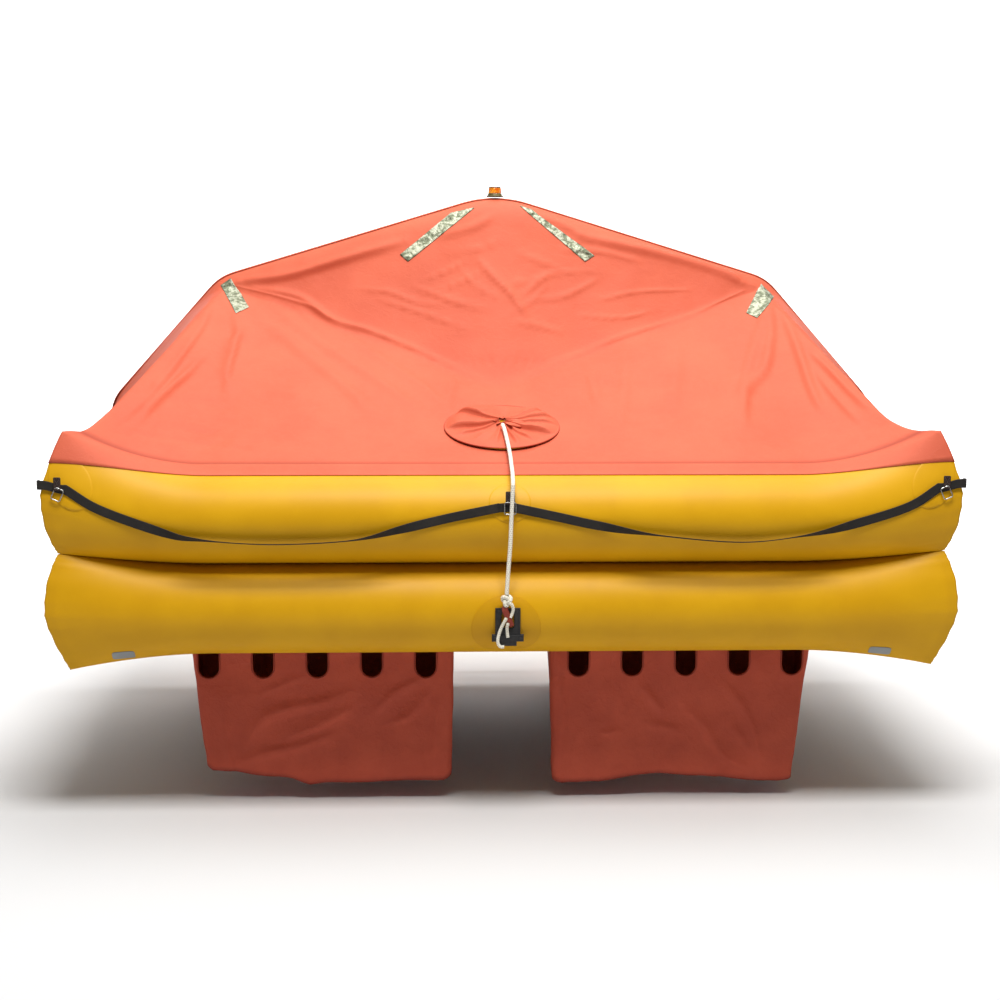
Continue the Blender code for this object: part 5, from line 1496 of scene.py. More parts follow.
@dataclass
class CanopyTrim:
    """What is sewn and stuck on the canopy: ridge tape, bindings and reflective tapes."""

    canopy: Canopy
    # Corners of the tapes as X and Z: upper inner, upper outer, lower outer, lower inner
    tapes: tuple[tuple[Pair, ...], ...] = (
        ((-0.0627, 1.1262), (-0.1364, 1.1100), (-0.2932, 0.9823), (-0.2687, 0.9612)),
        ((0.0735, 1.1332), (0.1120, 1.1200), (0.3045, 0.9815), (0.2743, 0.9631)),
        ((-0.8440, 0.8856), (-0.8146, 0.9080), (-0.7511, 0.8214), (-0.7868, 0.8045)),
        ((0.8300, 0.8960), (0.8620, 0.8574), (0.7948, 0.7949), (0.7660, 0.8089)),
    )
    tape_rows: int = 50
    tape_columns: int = 16

    def tape(self, index: int, end: str) -> None:
        """Lay one crinkled reflective tape on the cloth."""
        corners = np.array(self.tapes[index])
        down, over = np.meshgrid(np.linspace(0, 1, self.tape_rows), np.linspace(0, 1, self.tape_columns),
                                 indexing="ij")
        top = mix(corners[0], corners[1], over[..., None])
        flat = mix(top, mix(corners[3], corners[2], over[..., None]), down[..., None])
        tree = self.canopy.trees[end]
        sign = 1 if end == "rear" else -1
        points = np.zeros((*flat.shape[:2], 3))
        facing = np.zeros_like(points)
        for place in np.ndindex(flat.shape[:2]):
            x, z = flat[place] * (-sign, 1)
            points[place], facing[place] = cast(tree, x, z, sign, True)
        crinkle = 0.0006 * soft_noise(points, 0.010, 5 + index) + 0.0009 * soft_noise(points, 0.022, 9 + index)
        points = points + facing * (self.canopy.thickness + 0.0019 + crinkle)[..., None]
        made = make_mesh(f"reflective_tape_{end}_{index + 1}", points,
                         grid_quads(self.tape_rows, self.tape_columns), np.stack([over, down], axis=-1))
        dress(thicken(face_along(made, 1, sign), 0.0004), ReflectiveTape())

    def door_binding(self) -> None:
        """Sew a round binding along the edge of the entrance."""
        tree = self.canopy.trees["rear"]
        hits = [cast(tree, x, z, 1) for x, z in evenly_round(self.canopy.door_outline(16), 220)]
        places, facing = (np.array(each) for each in zip(*(hit for hit in hits if hit[0] is not None)))
        lifted = places + facing * (self.canopy.thickness / 2)
        dress(round_ring("door_binding", lifted, 0.0042, 10, facing), CanopyFabric())

    def ridge_tape(self) -> None:
        """Sew the tape that covers the seam along the ridge."""
        points, steps = self.canopy.ridge.measured()
        flat = evenly(points[np.abs(steps) < self.canopy.ridge.foot_distance() - 0.06], 160)
        ahead = heading(flat)
        lean = np.stack([-ahead[:, 1], ahead[:, 0]], axis=1)
        half = np.radians(17.0)
        turns = np.linspace(-half, half, 13)
        reach = self.canopy.arch_radius
        rows = []
        for turn in turns:
            drop = reach * (1 - math.cos(turn)) - 0.0015 - 0.0003 * abs(math.cos(turn / half * math.pi / 2))
            rows.append(np.insert(flat - lean * drop, 1, reach * math.sin(turn), axis=1))
        made = make_mesh("ridge_tape", np.array(rows), grid_quads(len(turns), len(flat)),
                         flat_places(turns * reach, np.linspace(0, 2.6, len(flat))))
        dress(thicken(face_along(made), 0.0007, 1.0), CanopyFabric())

    def build(self) -> None:
        """Build the trim."""
        for end in ("front", "rear"):
            for index in range(len(self.tapes)):
                self.tape(index, end)
        self.ridge_tape()
        self.door_binding()


@dataclass
class PortSleeve:
    """The look-out sleeve in the front, gathered and tied shut."""

    centre: Triple = (0.0, -0.565, 0.5035)
    slope: float = 22.0
    half: Pair = (0.162, 0.127)
    thickness: float = 0.0012
    around: int = 240
    rings: int = 60
    gather: float = 1.45
    # Each pleat: degrees round the sleeve, height in mm, half width in degrees, skew, where it starts
    pleats: tuple[tuple[float, float, float, float, float], ...] = (
        (2, 12, 8, 3.0, 0.05), (19, 15, 9, 3.2, 0.03), (39, 17, 10, 3.2, 0.04), (56, 9, 7, 2.0, 0.14),
        (72, 9, 5, -1.8, 0.12), (87, 8, 5, 1.9, 0.16), (101, 9, 5, -1.9, 0.18), (117, 7, 6, 1.8, 0.12),
        (143, 18, 11, -3.4, 0.03), (163, 8, 7, -2.0, 0.10), (186, 15, 9, -3.2, 0.05), (206, 7, 8, -1.8, 0.12),
        (233, 5, 8, 1.5, 0.20), (262, 6, 6, -1.6, 0.18), (287, 8, 6, 1.7, 0.14), (310, 7, 7, 1.8, 0.14),
        (338, 13, 9, 2.8, 0.06),
    )

    def raised(self, degrees: Array, share: float) -> Array:
        """Return the pleats' height at angles round the sleeve, at a share of the way in, in metres."""
        total = np.zeros_like(degrees)
        inner = 1 - 0.62 * float(ease((share - 0.60) / 0.38))
        for centre, height, width, skew, start in self.pleats:
            offset = (degrees - centre + 180) % 360 - 180
            steep = np.where(offset * skew < 0, 1 + abs(skew), 1 - 0.25 * abs(skew))
            shape = np.exp(-np.abs(offset / width * steep) ** 1.25)
            grown = self.gather * height / 1000 * float(ease((share - start) / 0.42)) * inner
            total = np.maximum(total, grown * shape)
        return total

    def cloth(self) -> Piece:
        """Build the gathered cloth, from the rim to the tied neck."""
        degrees = np.linspace(0, 360, self.around, endpoint=False)
        turns = np.radians(degrees)
        shares = np.linspace(0, 1, self.rings)
        rows, flat = [], []
        for share in shares:
            raised = self.raised(degrees, share)
            radius = mix(1.0, 0.070, float(ease(share ** 0.9 * 0.5) * 2) if share < 1 else 1.0)
            depth = 0.0022 + 0.003 * share + 0.012 * float(ease((share - 0.72) / 0.28))
            pinch = 1 + (raised / 0.012 - 0.5) * 0.20 * float(ease((share - 0.55) / 0.4))
            sag = 0.004 * math.sin(math.pi * share) * np.sin(turns * 3 + 0.6)
            rows.append(np.column_stack([self.half[0] * radius * pinch * np.cos(turns),
                                         self.half[1] * radius * pinch * np.sin(turns), depth + raised + sag]))
            flat.append(np.stack([turns * 0.14, np.full_like(turns, share * 0.17)], axis=1))
        points = np.array(rows)
        points[..., 2] += 0.0016 * soft_noise(points, 0.03, 21) * ease(shares * 4)[:, None]
        seam = np.exp(-(shares[:, None] / 0.02) ** 2) * np.ones((1, self.around))
        return make_mesh("port_sleeve_sheet", points, grid_quads(self.rings, self.around, closed_columns=True),
                         np.array(flat), {"seam": seam})

    def frill(self) -> Piece:
        """Build the bunched end of the cloth beyond the tie, with the lobe that hangs to the right."""
        count, rings = 120, 16
        turns = full_turn(count)
        from_lobe = (turns + 0.35 + math.pi) % (2 * math.pi) - math.pi
        rows = []
        for share in np.linspace(0, 1, rings):
            waves = 1 + 0.42 * share * np.sin(turns * 6 + 1.1) + 0.22 * share * np.sin(turns * 11)
            lobe = 1 + 2.6 * share ** 1.4 * np.exp(-(from_lobe / 0.42) ** 2)
            radius = mix(0.0105, 0.021, float(ease(share))) * waves * lobe
            droop = 0.0165 + 0.006 * share - 0.006 * share ** 2 * np.clip(lobe - 1, 0, 2)
            rows.append(np.stack([radius * np.cos(turns), radius * 0.85 * np.sin(turns), droop], axis=1))
        return make_mesh("port_sleeve_frill", np.array(rows), grid_quads(rings, count, closed_columns=True),
                         np.zeros((rings * count, 2)))

    def build(self) -> None:
        """Build the sleeve as one gathered sheet, its tie and its frill."""
        place = Matrix.Translation(self.centre) @ Matrix.Rotation(math.radians(self.slope), 4, "X")
        upward = (0, 0, 1)
        made, frill = self.cloth(), self.frill()
        tie = round_ring("port_sleeve_tie", oval(90, 0.0128, 0.0110, 0.0160), 0.0016, 10, upward)
        edge = oval(180, *(1.003 * half for half in self.half), 0.0008)
        rim = round_ring("port_sleeve_rim", edge, 0.0021, 8, upward)
        for piece in (made, frill, tie, rim):
            piece.data.transform(place)
        thicken(face_along(made), self.thickness, -1.0)
        dress(thicken(frill, 0.0012, 0.0), CanopyFabric())
        dress(tie, BraidedLine())
        dress(rim, CanopyFabric(srgb(184, 80, 56), srgb(178, 75, 52)))
        dress(made, CanopyFabric(), "port_sleeve")


@dataclass
class PainterLine:
    """The white line from the sleeve's neck to the towing bracket, with its knot and toggle."""

    diameter: float = 0.011
    reach: float = 0.8975
    route: tuple[Triple, ...] = (
        (0.000, -0.606, 0.5140), (0.004, -0.625, 0.5040), (0.008, -0.655, 0.4865), (0.012, -0.700, 0.4655),
        (0.015, -0.757, 0.4420), (0.016, -0.800, 0.4230), (0.0165, -0.845, 0.4090), (0.016, -0.874, 0.3990),
        (0.0155, -0.8945, 0.3860), (0.015, -0.8975, 0.3700), (0.012, -0.8975, 0.3000), (0.009, -0.8975, 0.2200),
        (0.004, -0.8975, 0.1500), (0.000, -0.8975, 0.0864),
    )
    sides: int = 20

    def rope(self, name: str, path: Array, radius: float) -> Piece:
        """Make a braided rope along a path."""
        turns = full_turn(self.sides)
        along = distances(path)
        lay = along[:, None] * (2 * math.pi / 0.022)
        strands = np.maximum(np.sin(4 * turns[None] + lay), np.sin(4 * turns[None] - lay))
        swell = radius * (1 + 0.05 * strands - 0.03)
        section = np.stack([np.cos(turns) * swell, np.sin(turns) * swell], axis=-1)
        return loft(name, swept_rings(path, *carried_frames(path, (1, 0, 0)), section),
                    flat_places(along, turns / (2 * math.pi)))

    def knot(self) -> Piece:
        """Tie the knot above the bracket, a close overhand knot."""
        turns = np.linspace(0, 2 * math.pi, 220)
        path = np.stack([0.0042 * (np.sin(turns) + 2 * np.sin(2 * turns)),
                         -self.reach - 0.0040 * np.sin(3 * turns),
                         0.071 + 0.0050 * (np.cos(turns) - 2 * np.cos(2 * turns))], axis=1)
        return self.rope("painter_knot_turns", path, self.diameter * 0.43)

    def web_loop(self) -> Piece:
        """Fold the short strap that joins the line to the bracket."""
        flat = [(-0.0055, 0.0520), (-0.0045, 0.0440), (-0.0005, 0.0330), (0.0040, 0.0225), (0.0080, 0.0110),
                (0.0105, 0.0020)]
        front = smooth_line([(x, -self.reach - 0.0030 - 0.0012 * math.sin(index), z)
                             for index, (x, z) in enumerate(flat)], 8)
        back = (front + [0.0015, 0.0056, 0.0])[::-1]
        lower = smooth_line([front[-1], front[-1] + [0.001, 0.0028, -0.0032], back[0]], 6)
        upper = smooth_line([back[-1], back[-1] + [-0.001, -0.0028, 0.0032], front[0]], 6)
        loop = np.vstack([front[:-1], lower[:-1], back[:-1], upper[:-1]])
        wide = np.broadcast_to(unit(np.cross(unit(front[-1] - front[0]), (0, 1, 0))), loop.shape)
        thin = unit(np.cross(heading(loop, True), wide))
        return band("painter_strap_loop", loop, wide, thin, 0.016, 0.0019, closed=True)

    def build(self) -> None:
        """Build the line and what is on it."""
        path = evenly(smooth_line(self.route, 12), 300)
        line = dress(self.rope("painter_rope", path, self.diameter / 2), BraidedLine(), "painter_line")
        front = -self.reach
        strands = {
            "painter_loop_right": [(0.006, front - 0.006, 0.066), (0.0135, front - 0.004, 0.060),
                                   (0.0175, front - 0.001, 0.047), (0.0150, front + 0.001, 0.034),
                                   (0.0095, front - 0.001, 0.024)],
            "painter_loop_left": [(-0.0010, front - 0.009, 0.0240), (-0.0075, front - 0.006, 0.0110),
                                  (-0.0165, front - 0.001, -0.0100), (-0.0225, front, -0.0320),
                                  (-0.0228, front, -0.0460), (-0.0165, front, -0.0555),
                                  (-0.0065, front, -0.0565)],
            "painter_tail": [(0.0035, front - 0.009, 0.0100), (0.0015, front - 0.006, -0.0020),
                             (0.0020, front - 0.001, -0.0160), (0.0037, front, -0.0300)],
        }
        dress(self.knot(), BraidedLine(), "painter_knot")
        for name, route in strands.items():
            dress(self.rope(name, evenly(smooth_line(route, 12), 90), self.diameter * 0.40), BraidedLine())
        dress(self.web_loop(), RedWebbing(), "painter_toggle")


@dataclass
class Lifeline:
    """The flat webbing that hangs in slack spans round the upper tube, with its sewn tabs."""

    width: float = 0.025
    thickness: float = 0.0026
    stand_off: float = 0.0046
    low_z: float = 0.224
    roll_degrees: float = 78.0
    half_depth: float = 0.88
    half_width: float = 1.225
    corner: Pair = (1.164, 0.372)
    corner_lift: float = 0.012
    middle_z: float = 0.326
    side_half: float = 0.832

    # The front spans as they hang, as X and height
    front_routes: dict[str, tuple[Pair, ...]] = field(default_factory=lambda: {
        "left": ((-1.164, .372), (-1.074, .316), (-.905, .254), (-.814, .237), (-.629, .2245), (-.417, .234),
                 (-.284, .262), (-.151, .293), (-.019, .320)),
        "right": ((.019, .320), (.13, .296), (.25, .270), (.411, .245), (.628, .2265), (.79, .242), (.925, .270),
                  (1.081, .319), (1.164, .372)),
    })

    def span(self, name: str, side: str, start: Pair, end: Pair,
             route: Sequence[Point] = ()) -> None:
        """Hang one span between two places, each a place along the side and a height, or along a route."""
        share = np.linspace(0, 1, 121)
        along = mix(start[0], end[0], share)
        bow = 4 * share * (1 - share)
        if route:
            line = smooth_line(sorted(route), 10)
            height = np.interp(along, line[:, 0], line[:, 1])
        else:
            height = mix(mix(start[1], end[1], share), self.low_z, bow ** 0.85)
        roll = np.radians(self.roll_degrees) * ease((bow - 0.58) / 0.36)
        distance = self.stand_off + self.width / 2 * np.sin(roll)
        if side in ("front", "rear"):
            out = np.array([0.0, 1.0 if side == "rear" else -1.0, 0.0])
            path = np.stack([along, out[1] * (self.half_depth + distance), height], axis=1)
        else:
            out = np.array([1.0 if side == "right" else -1.0, 0.0, 0.0])
            path = np.stack([out[0] * (self.half_width + distance), along, height], axis=1)
        ahead = heading(path)
        upright = unit(np.cross(out, ahead))
        upright *= np.sign(upright[:, 2:])
        face = unit(np.cross(upright, ahead))
        face *= np.sign(face @ out)[:, None]
        wide = upright * np.cos(roll)[:, None] + face * np.sin(roll)[:, None]
        thin = face * np.cos(roll)[:, None] - upright * np.sin(roll)[:, None]
        made = dress(band(f"{name}_web", path, wide, thin, self.width, self.thickness), Webbing(), name)

    def corner_web(self, end: str, side: str) -> None:
        """Lead the webbing round one corner, behind its tab."""
        route = [(1.158, 0.8847), (1.185, 0.8850), (1.212, 0.8872), (1.2290, 0.8898), (1.2352, 0.8868),
                 (1.2350, 0.8760), (1.2318, 0.8560), (1.2298, 0.8340), (1.2296, 0.8280)]
        flat = evenly(smooth_line(route, 10), 90)
        ahead = heading(flat)
        lift = self.corner_lift * ease((flat[:, 0] - 1.168) / 0.055) * ease((flat[:, 1] - 0.835) / 0.04)
        path = np.column_stack([flat, self.corner[1] - 0.0005 + lift])
        thin = np.column_stack([-ahead[:, 1], ahead[:, 0], np.zeros(len(flat))])
        signs = np.array([-1 if side == "left" else 1, -1 if end == "front" else 1, 1])
        dress(band(f"lifeline_corner_{end}_{side}", path * signs, (0, 0, 1), thin * signs, self.width - 0.0006,
                   self.thickness), Webbing())

    def middle_web(self) -> None:
        """Lead the webbing behind the tab in the middle of the front."""
        half = 0.022
        x = np.linspace(-half, half, 24)
        path = np.column_stack([x, np.full(24, -self.half_depth - self.stand_off),
                                0.3192 + 0.0012 * np.cos(x / half * math.pi / 2)])
        dress(band("lifeline_middle_front_right", path, (0, 0, 1), (0, -1, 0), self.width - 0.0008,
                   self.thickness), Webbing())

    def tab(self, node: str, centre: Point, sign: int, tilt: float, half: float = 0.0125) -> None:
        """Sew one tab with its steel loop, facing the front or the rear.

        Args:
            node: The CAD node that it stands for.
            centre: Where the CAD plate's middle is.
            sign: -1 at the front, 1 at the rear.
            tilt: Degrees that the steel loop hangs askew.
            half: Half of the webbing's width.
        """
        x, y, z = centre
        web = plate(f"{node}_web", [rounded_outline(half, 0.016, 0.003, 5)], 0.0038, 0.0012, (x, y, z + 0.016))
        fold_bar = evenly(np.array([(x - half + 0.001, y, z - 0.0005), (x + half - 0.001, y, z - 0.0005)]), 12)
        roll = round_bar(f"{node}_fold", fold_bar, 0.0033, 16, (0, 0, 1))
        loop = np.insert(rounded_outline(half + 0.0025, 0.0158, 0.0045, 8), 1, 0, axis=1)
        ring = round_ring(f"{node}_steel", evenly_round(loop, 96), 0.0017, 12, (0, 1, 0))
        ring.data.transform(Matrix.Translation((x, y + sign * 0.0008, z - 0.0135))
                            @ Matrix.Rotation(math.radians(tilt), 4, "Y"))
        dress(join(f"{node}_cloth", [web, roll]), Webbing(srgb(40, 24, 20), srgb(84, 52, 42)), node)
        dress(ring, BareSteel())
        box = [np.array([(x + a * (half - 0.003), y + sign * 0.0020, z + 0.016 + b * 0.0125) for a, b in pair])
               for pair in (((-1, -1), (1, -1)), ((1, -1), (1, 1)), ((1, 1), (-1, 1)), ((-1, 1), (-1, -1)),
                            ((-1, -1), (1, 1)), ((-1, 1), (1, -1)))]
        dress(stitches(f"{node}_stitches", box, (0, sign, 0)), Webbing(srgb(96, 84, 74), srgb(132, 120, 108)))
        at_corner = abs(x) > 0.8
        degrees = 20.0 if at_corner else math.degrees(math.asin((z - Level.UPPER.value[0]) / FORM.radius))
        along = math.copysign(1.150, x) if at_corner else x
        SkinPatch(Level.UPPER, "rear" if sign > 0 else "front", along, degrees, (0.056, 0.056),
                  0.0007).build(f"{node}_patch")

    def build(self) -> None:
        """Hang the six spans, lead them round the corners and sew the tabs."""
        for side, tab_x in (("front", 0.019), ("rear", 0.279)):
            for label, sign in (("left", -1), ("right", 1)):
                route = self.front_routes[label] if side == "front" else ()
                self.span(f"lifeline_{side}_{label}", side, (sign * self.corner[0], self.corner[1]),
                          (sign * tab_x, self.middle_z if side == "rear" else 0.320), route)
        for side in ("left", "right"):
            start, stop = ((along, self.corner[1]) for along in (-self.side_half, self.side_half))
            self.span(f"lifeline_{side}", side, start, stop)
            for end in ("front", "rear"):
                self.corner_web(end, side)
        self.tab("lifeline_tab_front", (0.009, -0.889, 0.332), -1, 0.0)
        self.middle_web()
        for label, sign in (("left", -1), ("right", 1)):
            self.tab(f"lifeline_tab_ladder_{label}", (sign * 0.26, 0.889, 0.332), 1, 0.0)
            for end, sign_y in (("front", -1), ("rear", 1)):
                self.tab(f"lifeline_tab_{end}_{label}", (sign * 1.183, sign_y * 0.8885, 0.372), sign_y,
                         sign * -24.0, 0.0095)


@dataclass
class BallastBags:
    """The four bags of cloth that hang under the floor and fill with water."""

    centre_x: float = 0.512
    top_width: float = 0.750
    bottom_width: float = 0.690
    bottom_shift: float = 0.018
    front_y: float = 0.652
    top_depth: float = 0.19
    bottom_depth: float = 0.13
    top_z: float = -0.0666
    rear_shift: float = 0.085
    corner_radius: float = 0.014
    wall: float = 0.0014
    levels: int = 66
    around: int = 200
    slot_first: float = 0.217
    slot_pitch: float = 0.153
    slot_count: int = 5
    slot_half: float = 0.029
    slot_z: Pair = (-0.105, -0.200)
    # The lower edges of the bags as they hang, as X and Z
    left_foot: tuple[Pair, ...] = (
        (-.90, -.452), (-.838, -.456), (-.822, -.468), (-.79, -.470), (-.76, -.469), (-.70, -.482), (-.60, -.496),
        (-.565, -.510), (-.548, -.514), (-.50, -.507), (-.37, -.508), (-.26, -.500), (-.165, -.500),
        (-.149, -.486))
    right_foot: tuple[Pair, ...] = (
        (.14, -.490), (.152, -.505), (.17, -.513), (.28, -.511), (.37, -.497), (.45, -.490), (.53, -.497),
        (.63, -.503), (.68, -.511), (.74, -.517), (.80, -.517), (.832, -.510), (.87, -.492))

    def section(self, width: float, depth: float) -> Array:
        """Return a level's outline from above: a rectangle with small round corners, evenly divided."""
        return evenly_round(rounded_outline(width / 2, depth / 2, self.corner_radius, 5), self.around)

    def grid(self, side: float, rear: bool, foot: Sequence[Pair]) -> Array:
        """Return the rings of one bag as if at the front, down its walls and in under its foot."""
        centre = side * (self.centre_x + (self.rear_shift if rear else 0.0))
        xs, zs = [place[0] for place in foot], [place[1] for place in foot]
        rings = []
        for level in range(self.levels + 1):
            down = level / self.levels
            width = mix(self.top_width, self.bottom_width, down)
            depth = mix(self.top_depth, self.bottom_depth, down)
            outline = self.section(width, depth)
            x = centre - side * self.bottom_shift * down + outline[:, 0]
            y = -self.front_y + depth / 2 + outline[:, 1]
            low = np.interp(x - (side * self.rear_shift if rear else 0.0), xs, zs)
            z = mix(self.top_z, low, down)
            rings.append(np.stack([x, y, z], axis=1))
        last = rings[-1]
        middle_y = -self.front_y + self.bottom_depth / 2
        inner = centre - side * self.bottom_shift
        half = self.bottom_width / 2 - self.bottom_depth / 2
        spine = np.stack([np.clip(last[:, 0], inner - half, inner + half), np.full(len(last), middle_y),
                          last[:, 2] - 0.004], axis=1)
        for part in (0.06, 0.16, 0.32, 0.5, 0.7, 0.88, 1.0):
            ring = mix(last, spine, part)
            ring[:, 2] = mix(last[:, 2], spine[:, 2], math.sin(part * math.pi / 2))
            rings.append(ring)
        return np.array(rings)

    def build_bag(self, name: str, side: float, rear: bool, foot: Sequence[Pair],
                  folds: Sequence[FoldLine], seed: int) -> None:
        """Build one bag."""
        sign = 1 if rear else -1
        grid = self.grid(side, rear, foot)[:, ::2 if rear else 1]
        across, down = np.gradient(grid, axis=1), np.gradient(grid, axis=0)
        facing = unit(np.cross(across, down) + 1e-12)
        centre = grid[: self.levels].mean(axis=(0, 1))
        if ((grid[40] - centre) * facing[40]).sum() < 0:
            facing = -facing
        lines = [np.array([(x + (side * self.rear_shift if rear else 0), -self.front_y, z)
                           for x, z in smooth_line(each.line, 6)]) for each in folds]
        rise = FoldSet(folds).rise(grid, lines) * (grid[..., 1] < -self.front_y + 0.03)
        rows = np.arange(len(grid))[:, None] / self.levels
        free = ease(rows * 5) * np.ones(grid.shape[:2])
        rise = rise + (soft_noise(grid, 0.20, seed) * 0.006 + soft_noise(grid, 0.09, seed + 1) * 0.003
                       + soft_noise(grid, 0.035, seed + 2) * 0.0012)
        grid = grid + facing * (np.minimum(rise, 0.010) * free)[..., None]
        if rear:
            grid = mirrored(grid, 1)
        seam = np.exp(-((np.arange(len(grid)) - self.levels) / 1.2) ** 2)[:, None] * np.ones(grid.shape[:2])
        made = make_mesh(f"{name}_cloth", grid, grid_quads(*grid.shape[:2], closed_columns=True),
                         flat_places(distances(grid[:, 0]), distances(grid[10]))[..., ::-1], {"seam": seam})
        edit(made, "weld", "outward")
        thicken(made, self.wall, -1.0)
        near, far = sign * (self.front_y - 0.05), sign * (self.front_y + 0.05)
        carve(made, join("slot_cutter", [prism("slot", outline, near, far)
                                         for outline in self.slots(side, rear, 0.0, 13)]))
        dress(made, BagFabric(), name)
        self.bind_slots(made, name, self.slots(side, rear, 0.0028, 20), sign)

    def slots(self, side: float, rear: bool, grow: float, steps: int) -> list[Array]:
        """Return the outlines of one bag's round-ended slots, as X and Z."""
        outlines = []
        reach = self.slot_half + grow
        for index in range(self.slot_count):
            centre = side * (self.slot_first + self.rear_shift * rear + self.slot_pitch * index)
            ends = ((self.slot_z[0], 0.0), (self.slot_z[1] + self.slot_half, math.pi))
            outlines.append(np.array([(centre + reach * math.cos(angle), end + reach * math.sin(angle))
                                      for end, begin in ends
                                      for angle in np.linspace(begin, begin + math.pi, steps)]))
        return outlines

    def bind_slots(self, bag: Piece, name: str, outlines: Iterable[Array], sign: int) -> None:
        """Sew a thin binding round each slot, laid on the cloth."""
        tree = BVHTree.FromPolygons([vertex.co for vertex in bag.data.vertices],
                                    [face.vertices for face in bag.data.polygons])
        rings = []
        for outline in outlines:
            laid = []
            for x, z in evenly_round(outline, 60):
                hit, _ = cast(tree, x, z, sign)
                on_wall = hit is not None and abs(hit[1]) > self.front_y - 0.03
                laid.append((x, (hit[1] if on_wall else sign * self.front_y) + sign * 0.0004, z))
            rings.append(round_ring(f"{name}_slot", np.array(laid), 0.0016, 8, (0, sign, 0)))
        dress(join(f"{name}_slot_bindings", rings), BagFabric(srgb(150, 58, 40), srgb(136, 50, 34)))

    def build(self) -> None:
        """Build the four bags."""
        for rear, end in ((False, "front"), (True, "rear")):
            for side, sign, foot, folds, seed in (("left", -1.0, self.left_foot, LEFT_BAG_FOLDS, 60),
                                                  ("right", 1.0, self.right_foot, RIGHT_BAG_FOLDS, 80)):
                self.build_bag(f"ballast_bag_{end}_{side}", sign, rear, foot, folds, seed + 10 * rear)


LEFT_BAG_FOLDS = (
    fold(Fold.CREASE, 6, 14, -.70, -.255, -.629, -.223, -.558, -.195),
    fold(Fold.PIPE, 9, 22, -.727, -.392, -.67, -.313, -.59, -.287, -.508, -.271, -.429, -.242),
    fold(Fold.PLEAT, 12, 24, -.62, -.381, -.52, -.341, -.458, -.309, -.424, -.289),
    fold(Fold.PIPE, 9, 20, -.762, -.453, -.671, -.421, -.561, -.396, -.478, -.367),
    fold(Fold.PIPE, 7, 16, -.373, -.315, -.307, -.249, -.216, -.2),
    fold(Fold.PLEAT, 9, 16, -.316, -.336, -.256, -.311, -.205, -.238),
    fold(Fold.PIPE, 7, 14, -.185, -.273, -.194, -.405, -.191, -.491),
    fold(Fold.PIPE, 5, 12, -.79, -.295, -.774, -.465),
)
RIGHT_BAG_FOLDS = (
    fold(Fold.PIPE, 7, 16, .399, -.228, .458, -.31),
    fold(Fold.PLEAT, 10, 22, .527, -.299, .574, -.347, .634, -.439, .713, -.485),
    fold(Fold.PIPE, 7, 18, .658, -.347, .697, -.398, .73, -.44),
    fold(Fold.CREASE, 5, 12, .278, -.371, .335, -.362),
    fold(Fold.PIPE, 8, 18, .635, -.226, .7, -.312, .735, -.419, .752, -.506),
    fold(Fold.PIPE, 7, 14, .161, -.147, .172, -.361, .141, -.5),
    fold(Fold.PIPE, 5, 18, .418, -.343, .511, -.364),
)


@dataclass
class LocatorLamp:
    """The lamp on the apex: an olive base and a ribbed amber body."""

    base_z: float = 1.161

    def build(self) -> None:
        """Build the base, the amber body and its guard ring."""
        place = Matrix.Translation((0, 0, self.base_z))
        base = turned("lamp_base_body", np.array([
            (0, 0), (0.0250, 0), (0.0260, 0.0010), (0.0260, 0.0034), (0.0252, 0.0042), (0.0226, 0.0046),
            (0.0218, 0.0058), (0.0216, 0.0094), (0.0208, 0.0106), (0, 0.0108)]), place)
        dress(base, MouldedPlastic(srgb(74, 66, 26), srgb(112, 100, 44)), "lamp_base", slot="olive_plastic")
        body_z = self.base_z + 0.0112
        body = turned("lamp_amber_body", np.array([
            (0, 0), (0.0200, 0), (0.0202, 0.0008), (0.0198, 0.0016), (0.0196, 0.0120), (0.0190, 0.0152),
            (0.0172, 0.0178), (0.0140, 0.0192), (0.0090, 0.0201), (0, 0.0206)]),
            Matrix.Translation((0, 0, body_z)), 96, 24, 0.0007)
        dress(body, AmberPlastic(), "lamp_dome")
        guard = round_ring("lamp_guard_ring", oval(64, 0.0172, 0.0172, body_z + 0.0186), 0.0016, 10, (0, 0, 1))
        dress(guard, MouldedPlastic(srgb(60, 62, 34), srgb(96, 96, 58)), slot="olive_plastic")


